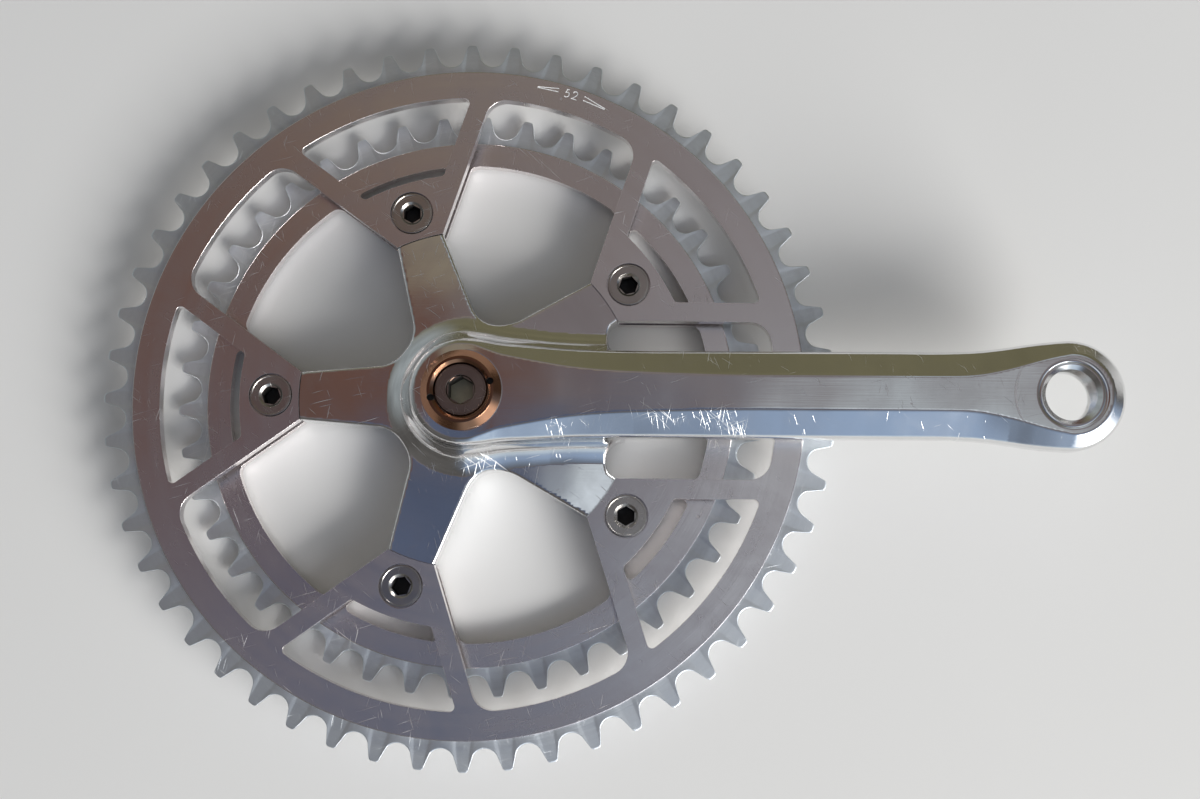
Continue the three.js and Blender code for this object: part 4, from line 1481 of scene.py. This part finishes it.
@dataclass
class CrankArm:
    """The arm: a polished forging, machined where the rings, axle, bolt and pedal meet it."""

    forging: Forging = field(default_factory=Forging)
    ring_faces: tuple[float, float] = (4.4, 7.85)
    seat_half_angle: float = 14.0
    bolt_radius: float = 58.0
    tab_hole: float = 5.2
    pedal_hole: float = 7.15
    pedal_face: float = 33.2
    spot_face: float = 10.0
    thread_pitch: float = 1.27
    thread_depth: float = 0.45
    thread_start: float = 23.3
    thread_length: float = 8.6
    extractor_bore: float = 11.0
    hub_recess: float = 11.8
    bolt_seat: float = 17.0
    taper_back: float = 13.4
    taper_angle: float = 2.0
    crease_angle: float = 32.0

    def build(self) -> bpy.types.Object:
        """Models the arm and returns it, in metres.

        Returns:
            The finished arm.
        """
        arm = self.forging.skin()
        arm.name = arm.data.name = "crank_arm_polished"
        half = self.seat_half_angle
        sector = [*arc((0, 0), self.forging.shoulder, half, -half, 1),
                  *arc((0, 0), 75, -half, half, 2)]
        back, front = self.ring_faces
        for name, bottom, top in (("front", front, 12.2), ("back", -1, back)):
            combine(arm, around(lambda: slab(f"seat_{name}", sector, bottom, top), f"{name}_seats"))
        hole = lambda: drum("tab_hole", self.tab_hole, 2, 10, (self.bolt_radius, 0), sides=32)
        combine(arm, around(hole, "tab_holes"))
        combine(arm, drum("extractor_bore", self.extractor_bore, self.bolt_seat, 30))
        combine(arm, drum("hub_face", self.hub_recess, self.forging.hub_face, 40))
        combine(arm, self.taper_tool())
        combine(arm, self.pedal_tool())
        return self.finish(arm)

    def taper_tool(self) -> bpy.types.Object:
        """The tool for the square taper socket, a little longer than the socket at both ends."""
        ends = (-0.5, self.bolt_seat + 0.5)
        slope = math.tan(math.radians(self.taper_angle))
        across = [(self.taper_back - 2 * z * slope) / math.sqrt(2) for z in ends]
        return drum("taper", across[0], *ends, tip=across[1], sides=4, turn=45)

    def pedal_tool(self) -> bpy.types.Object:
        """The tool for the threaded hole and the spot faces round it."""
        bore, face = self.pedal_hole, self.pedal_face
        thread = []
        for k in range(int(self.thread_length / self.thread_pitch)):
            start = self.thread_start + k * self.thread_pitch
            thread += [(bore, start), (bore + self.thread_depth, start + 0.55 * self.thread_pitch)]
        profile = [
            (0, 10), (self.spot_face, 10), (self.spot_face, 21.6), (8.3, 21.6), (bore, 22.75),
            *thread, (bore, face - 1.15), (8.35, face), (9.0, face), (9.15, face - 0.08),
            (9.3, face), (self.spot_face, face), (self.spot_face, 40), (0, 40),
        ]
        return spun("pedal_hole", profile, (self.forging.length, 0))

    def finish(self, arm: bpy.types.Object) -> bpy.types.Object:
        """Gives the forged skin its true normals and brings the arm to metres.

        Args:
            arm: The machined arm, in millimetres.

        Returns:
            The same arm.
        """
        only(arm)
        bpy.ops.object.shade_smooth_by_angle(angle=math.radians(self.crease_angle))
        mesh = arm.data
        count = len(mesh.loops)
        normals = np.empty(3 * count)
        mesh.corner_normals.foreach_get("vector", normals)
        normals = normals.reshape(-1, 3)
        points = np.empty(3 * len(mesh.vertices))
        mesh.vertices.foreach_get("co", points)
        points = points.reshape(-1, 3)
        gradient = self.forging.slope(points)
        gradient /= np.maximum(np.linalg.norm(gradient, axis=1, keepdims=True), 1e-9)
        on_skin = np.abs(self.forging.distance(*points.T)) < 0.03
        corner_of = np.empty(count, int)
        mesh.loops.foreach_get("vertex_index", corner_of)
        flat = np.empty(3 * len(mesh.polygons))
        mesh.polygons.foreach_get("normal", flat)
        sizes = np.empty(len(mesh.polygons), int)
        mesh.polygons.foreach_get("loop_total", sizes)
        flat = np.repeat(flat.reshape(-1, 3), sizes, axis=0)
        smooth = on_skin[corner_of] & ((gradient[corner_of] * flat).sum(axis=1) > 0.8)
        normals[smooth] = gradient[corner_of][smooth]
        mesh.normals_split_custom_set(normals)
        mesh.transform(Matrix.Scale(MM, 4))
        return arm

    def dress(self, arm: bpy.types.Object, finishes: Finishes) -> None:
        """Gives the arm its polish.

        Args:
            arm: The arm, in metres.
            finishes: The crankset's finishes.
        """
        hand_over(arm, "crank_arm", Body.ROOT, [finishes.polished])


# ---- Bolts and nuts --------------------------------------------------------------------------


@dataclass
class RingBolt:
    """A hollow bolt and its slotted nut, which clamp both rings to one spider arm."""

    number: int
    angle: float
    circle: float = 58.0
    face: float = 11.5
    under: float = 9.3
    end: float = 2.4
    shank: float = 3.95
    head: float = 6.1
    hexagon: float = 5.0
    socket: float = 5.6

    def build_bolt(self) -> bpy.types.Object:
        """The bolt, with its socket, in metres."""
        at = polar(self.circle, self.angle)
        mouth = self.hexagon / 2 + 0.35
        profile = [
            (0, self.end), (self.shank - 0.4, self.end), (self.shank, self.end + 0.4),
            *self.thread(), (self.shank, self.under), (self.head - 0.15, self.under),
            (self.head, self.under + 0.15), (self.head, self.face - 0.22),
            (self.head - 0.07, self.face - 0.07), (self.head - 0.22, self.face),
            (self.head - 0.5, self.face), (self.head - 0.62, self.face - 0.1),
            (mouth + 0.72, self.face - 0.1), (mouth + 0.6, self.face - 0.15),
            (mouth, self.face - 0.75), (0, self.face - 0.75),
        ]
        bolt = spun(f"ring_bolt_{self.number}", profile, at, sides=72)
        corner = self.hexagon / math.sqrt(3)
        turn = self.angle + 7 * self.number
        # The socket stops short and a bore rises from below, leaving a thin web across the hollow
        # bolt that carries painted shade.
        combine(bolt, drum("hex", corner, self.socket, 12, at, sides=6, turn=turn))
        combine(bolt, drum("bore", 2.3, 0, self.socket - 0.8, at, sides=32))
        return machined(bolt)

    def thread(self) -> list[Point]:
        """Ridges along the shank."""
        ridges = []
        for k in range(6):
            low = self.end + 0.6 + 0.75 * k
            ridges += [(self.shank, low), (self.shank - 0.3, low + 0.37)]
        return ridges

    def build_nut(self) -> bpy.types.Object:
        """The nut, with its slot, in metres."""
        at = polar(self.circle, self.angle)
        profile = [
            (4.25, 0.25), (4.5, 0), (self.head - 0.3, 0), (self.head, 0.3), (self.head, 1.6),
            (4.9, 1.6), (4.9, 9.0), (4.25, 9.0),
        ]
        nut = spun(f"ring_nut_{self.number}", profile, at, sides=72)
        slot = slab("slot", [(-8, -1.1), (8, -1.1), (8, 1.1), (-8, 1.1)], -1, 0.9)
        slot.data.transform(Matrix.Rotation(math.radians(self.angle + 40 * self.number), 4, "Z"))
        slot.data.transform(Matrix.Translation((*at, 0)))
        combine(nut, slot)
        return machined(nut)

    def dress(self, bolt: bpy.types.Object, nut: bpy.types.Object, finishes: Finishes) -> None:
        """Gives both their finishes, with near-black grease down in the socket that also paints the
        shade of its depth.

        Args:
            bolt: The bolt, in metres.
            nut: The nut, in metres.
            finishes: The crankset's finishes.
        """
        hand_over(bolt, f"chainring_bolt_{self.number}", Body.ROOT,
                  [finishes.bolt_steel, finishes.grease_and_shade])
        # Painted shade: near-black grease on every face down in the socket and in the bore under
        # its web.
        at = polar(self.circle * MM, self.angle)
        reach = (self.hexagon / 2 + 0.3) * MM
        deep = (self.face - 0.8) * MM
        paint(bolt, 1, lambda f: (f.center.xy - Vector(at)).length < reach and f.center.z < deep)
        hand_over(nut, f"chainring_nut_{self.number}", Body.ROOT, [finishes.zinc])


@dataclass
class CrankBolt:
    """The bolt that draws the arm onto its axle, and the ring it pushes against to draw it off."""

    end: float = 0.8
    shank: float = 4.0
    flange: float = 9.75
    collar: float = 7.4
    face: float = 29.3
    hexagon: float = 7.0
    hex_depth: float = 7.5
    ring_bottom: float = 23.2
    hub_face: float = 27.6
    ring_face: float = 30.3
    pin_circle: float = 8.7
    pin_radius: float = 1.0
    pin_depth: float = 2.0
    pin_turns: tuple[float, float] = (16, 196)

    def build_bolt(self) -> bpy.types.Object:
        """The bolt, in metres."""
        shank, collar, face = self.shank, self.collar, self.face
        ridges = []
        for k in range(14):
            low = self.end + 0.8 + k
            ridges += [(shank, low), (shank - 0.5, low + 0.5)]
        mouth = self.hexagon / 2 + 0.45
        profile = [
            (0, self.end), (shank - 0.6, self.end), (shank, self.end + 0.6), *ridges, (shank, 18.5),
            (self.flange, 18.5), (self.flange, 21.5), (collar, 21.5), (collar, face - 0.25),
            (collar - 0.25, face), (7.0, face), (6.95, face - 0.12), (6.78, face - 0.12),
            (6.72, face), (mouth + 0.35, face), (mouth + 0.2, face - 0.08),
            (mouth - 0.1, face - 0.7), (0, face - 0.7),
        ]
        bolt = spun("crank_bolt_steel", profile)
        corner = self.hexagon / math.sqrt(3)
        combine(bolt, drum("hex", corner, face - self.hex_depth, 40, sides=6))
        return machined(bolt)

    def build_ring(self) -> bpy.types.Object:
        """The extractor ring, with its two pin holes, in metres."""
        profile = [
            (7.7, self.ring_bottom), (11, self.ring_bottom), (11, self.hub_face),
            (11.35, self.hub_face), (11.5, self.hub_face + 0.12), (11.5, self.hub_face + 0.6),
            (9.5, self.ring_face - 0.06),
            (9.3, self.ring_face), (8.65, self.ring_face), (8.55, self.ring_face - 0.05),
            (7.75, self.ring_face - 0.85), (7.7, self.ring_face - 1.0),
        ]
        ring = spun("extractor_ring_steel", profile)
        bottom = self.ring_face - self.pin_depth
        pins = [drum(f"pin_{turn}", self.pin_radius, bottom, 40, polar(self.pin_circle, turn),
                     sides=32) for turn in self.pin_turns]
        combine(ring, joined(pins, "pins"))
        return machined(ring)

    def dress(self, bolt: bpy.types.Object, ring: bpy.types.Object, finishes: Finishes) -> None:
        """Gives both their finishes, with near-black grease down in the socket and the pin holes
        that also paints their shade, and chrome whose colour is a painted reflection.

        Args:
            bolt: The bolt, in metres.
            ring: The extractor ring, in metres.
            finishes: The crankset's finishes.
        """
        hand_over(bolt, "crank_bolt", Body.TURN,
                  [finishes.crank_bolt, finishes.grease_and_shade, finishes.socket_floor])
        # Painted shade: near-black grease on the socket's walls; its bottom gets dulled steel.
        reach = (self.hexagon / 2 + 0.6) * MM
        deep = (self.face - 0.75) * MM
        low = (self.face - self.hex_depth + 0.1) * MM
        bottom = (self.face - self.hex_depth - 0.1) * MM
        paint(bolt, 1, lambda f: f.center.xy.length < reach and low < f.center.z < deep)
        paint(bolt, 2, lambda f: f.center.xy.length < reach and bottom < f.center.z < low)
        hand_over(ring, "extractor_ring", Body.ROOT,
                  [finishes.chrome_with_painted_reflection, finishes.grease_and_shade])
        # Painted shade: the same near-black grease down in both pin holes.
        pins = [Vector(polar(self.pin_circle * MM, turn)) for turn in self.pin_turns]
        reach = (self.pin_radius + 0.01) * MM
        mouth = (self.ring_face - 0.4) * MM
        bottom = (self.ring_face - self.pin_depth - 0.1) * MM

        def in_pin_hole(face: bpy.types.MeshPolygon) -> bool:
            """Whether a face lies down in one of the two pin holes."""
            near = min((face.center.xy - pin).length for pin in pins)
            return near < reach and bottom < face.center.z < mouth

        paint(ring, 1, in_pin_hole)


# ---- Studio ----------------------------------------------------------------------------------


@dataclass(frozen=True)
class SoftLight:
    """A large soft lamp that shines at a point of the crankset.

    Place, target and size are in metres.
    """

    name: str
    place: tuple[float, float, float]
    size: tuple[float, float]
    power: float
    colour: tuple[float, float, float] = (1, 1, 1)
    target: tuple[float, float, float] = (0.03, 0, 0.01)

    def place_it(self) -> None:
        """Adds the lamp."""
        lamp = bpy.data.lights.new(self.name, "AREA")
        lamp.shape = "RECTANGLE"
        lamp.size, lamp.size_y = self.size
        lamp.energy = self.power
        lamp.color = self.colour
        obj = bpy.data.objects.new(self.name, lamp)
        bpy.context.scene.collection.objects.link(obj)
        obj.location = self.place
        towards = Vector(self.target) - Vector(self.place)
        obj.rotation_euler = towards.to_track_quat("-Z", "Y").to_euler()
        obj.visible_camera = False


@dataclass(frozen=True)
class Glow:
    """A part of the room that is brighter, darker or otherwise tinted than the rest.

    It reaches full strength within one angle of its direction, and fades out at another.
    """

    name: str
    direction: tuple[float, float, float]
    full: float
    gone: float
    colour: tuple[float, float, float]

    def share(self, wire: Wiring, heading: bpy.types.NodeSocket) -> bpy.types.NodeSocket:
        """How much of it shows in each direction.

        Args:
            wire: The tree to add it to.
            heading: The direction looked in.

        Returns:
            Its share, 0 to 1.
        """
        towards = Vector(self.direction).normalized()
        near = wire.vector("DOT_PRODUCT", heading, tuple(towards))
        low, high = math.cos(math.radians(self.gone)), math.cos(math.radians(self.full))
        node = wire.add("ShaderNodeMapRange", {0: near, 1: low, 2: high},
                        interpolation_type="SMOOTHSTEP")
        node.label = self.name
        return node.outputs[0]


ROOM = (
    Glow("far_wall", (0, 1, 0.45), 25, 70, (0.155, 0.142, 0.085)),
    Glow("near_wall", (0.9, -1, 0.5), 10, 57, (0.35, 0.48, 0.70)),
    Glow("pale_wall", (-0.9, 0.5, 0.2), 15, 50, (0.30, 0.33, 0.34)),
    Glow("sill", (0.5, -0.8, -0.4), 10, 60, (0.66, 0.74, 0.78)),
    Glow("ceiling", (-0.02, 0.12, 1), 24, 38, (0.185, 0.16, 0.165)),
    Glow("warm_ceiling", (-0.32, 0.21, 1), 8, 13, (0.13, 0.07, 0.055)),
    Glow("beam", (-0.15, 0.37, 1), 3, 7, (0.235, 0.20, 0.15)),
    Glow("upper_window", (0.27, 0.52, 1), 5, 11, (0.46, 0.52, 0.56)),
    Glow("cool_ceiling", (-0.1, -0.12, 1), 8, 16, (0.085, 0.105, 0.165)),
    Glow("skylight", (0.14, 0.02, 1), 3, 10.5, (0.47, 0.51, 0.54)),
    Glow("skylight_edge", (0.12, -0.05, 1), 3, 6, (0.70, 0.76, 0.82)),
    Glow("window", (0.72, -0.62, 0.42), 18, 34, (1.5, 1.56, 1.65)),
)


@dataclass
class Studio:
    """A pale table top under soft light, and the camera that looks straight down on it."""

    floor_height: float = -0.0004
    camera_place: tuple[float, float, float] = (0.0480, -0.0534, 0.4370)
    tilt: tuple[float, float, float] = (-7.1406, -1.1201, -0.784)
    lens: float = 43.956
    floor_size: float = 40.0
    gloom: tuple[float, float, float] = (0.105, 0.10, 0.095)
    glows: tuple[Glow, ...] = ROOM
    lamp: SoftLight = SoftLight("window_light", (2.0, -1.9, 1.24), (1.8, 1.2), 108.0,
                                (1.0, 0.985, 0.96))

    def build(self) -> None:
        """Adds the floor, the light, the room and the camera."""
        self.floor()
        self.surroundings()
        self.lamp.place_it()
        self.camera()
        bpy.context.scene.view_settings.view_transform = "Standard"

    def floor(self) -> None:
        """A wide sheet of smooth pale board."""
        bpy.ops.mesh.primitive_plane_add(size=self.floor_size, location=(0, 0, self.floor_height))
        board = bpy.context.active_object
        board.name = board.data.name = "table_top"
        material = bpy.data.materials.new("pale_board")
        material.use_nodes = True
        wire = Wiring(material.node_tree)
        shader = material.node_tree.nodes["Principled BSDF"]
        place = wire.add("ShaderNodeTexCoord").outputs["Object"]
        colour = wire.mix(wire.noise(place, 8.0, 3.0), (0.82, 0.815, 0.80, 1),
                          (0.86, 0.855, 0.84, 1))
        material.node_tree.links.new(colour, shader.inputs["Base Color"])
        shader.inputs["Roughness"].default_value = 0.85
        shader.inputs["Specular IOR Level"].default_value = 0.2
        board.data.materials.append(material)

    def surroundings(self) -> None:
        """The room that the metal mirrors."""
        world = bpy.data.worlds.new("room")
        bpy.context.scene.world = world
        world.use_nodes = True
        wire = Wiring(world.node_tree)
        background = world.node_tree.nodes["Background"]
        heading = wire.add("ShaderNodeTexCoord").outputs["Generated"]
        mottle = wire.spread(wire.noise(heading, 3.2, 2.0), 0.3, 0.7, 0.8, 1.2)
        room = (*self.gloom, 1)
        for glow in self.glows:
            room = wire.mix(glow.share(wire, heading), room, (*glow.colour, 1))
        even = wire.add("ShaderNodeCombineXYZ", {0: mottle, 1: mottle, 2: mottle}).outputs[0]
        world.node_tree.links.new(wire.vector("MULTIPLY", room, even), background.inputs["Color"])

    def camera(self) -> None:
        """The camera, above the crankset and a little below its middle."""
        lens = bpy.data.cameras.new("camera")
        lens.sensor_width = 36
        lens.lens = self.lens
        lens.clip_start = 0.01
        camera = bpy.data.objects.new("camera", lens)
        bpy.context.scene.collection.objects.link(camera)
        turns = [Matrix.Rotation(math.radians(a), 3, axis) for a, axis in zip(self.tilt, "XYZ")]
        facing = (turns[0] @ turns[1] @ turns[2]).transposed().to_4x4()
        camera.matrix_world = Matrix.Translation(self.camera_place) @ facing
        bpy.context.scene.camera = camera


def carry_over(finishes: Finishes) -> None:
    """Dresses the washers, which keep their nodes.

    Args:
        finishes: The crankset's finishes.
    """
    for name in ("crank_bolt_washer", "friction_washer"):
        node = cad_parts[name]
        LOG.info("%s: kept", name)
        for slot in node.material_slots:
            slot.material = finishes.zinc


def main() -> None:
    finishes = Finishes()
    arm = CrankArm()
    arm.dress(arm.build(), finishes)
    rings = [
        Chainring("outer_ring", "outer_chainring", 52, 0.65, 7.85, 3.75, 8.3, 6.5, (9.3, 15),
                  CountMark()),
        Chainring("inner_ring", "inner_chainring", 42, 2.48, 0.85, 3.55, 7.1, 3.2, (-3, 1.6)),
    ]
    for ring in rings:
        ring.dress(ring.build(), finishes)
    for number, angle in enumerate(ARM_ANGLES, 1):
        bolt = RingBolt(number, angle)
        bolt.dress(bolt.build_bolt(), bolt.build_nut(), finishes)
    crank_bolt = CrankBolt()
    crank_bolt.dress(crank_bolt.build_bolt(), crank_bolt.build_ring(), finishes)
    carry_over(finishes)
    Studio().build()


if __name__ == "__main__":
    logging.basicConfig(level=logging.INFO, format="%(message)s")
    main()
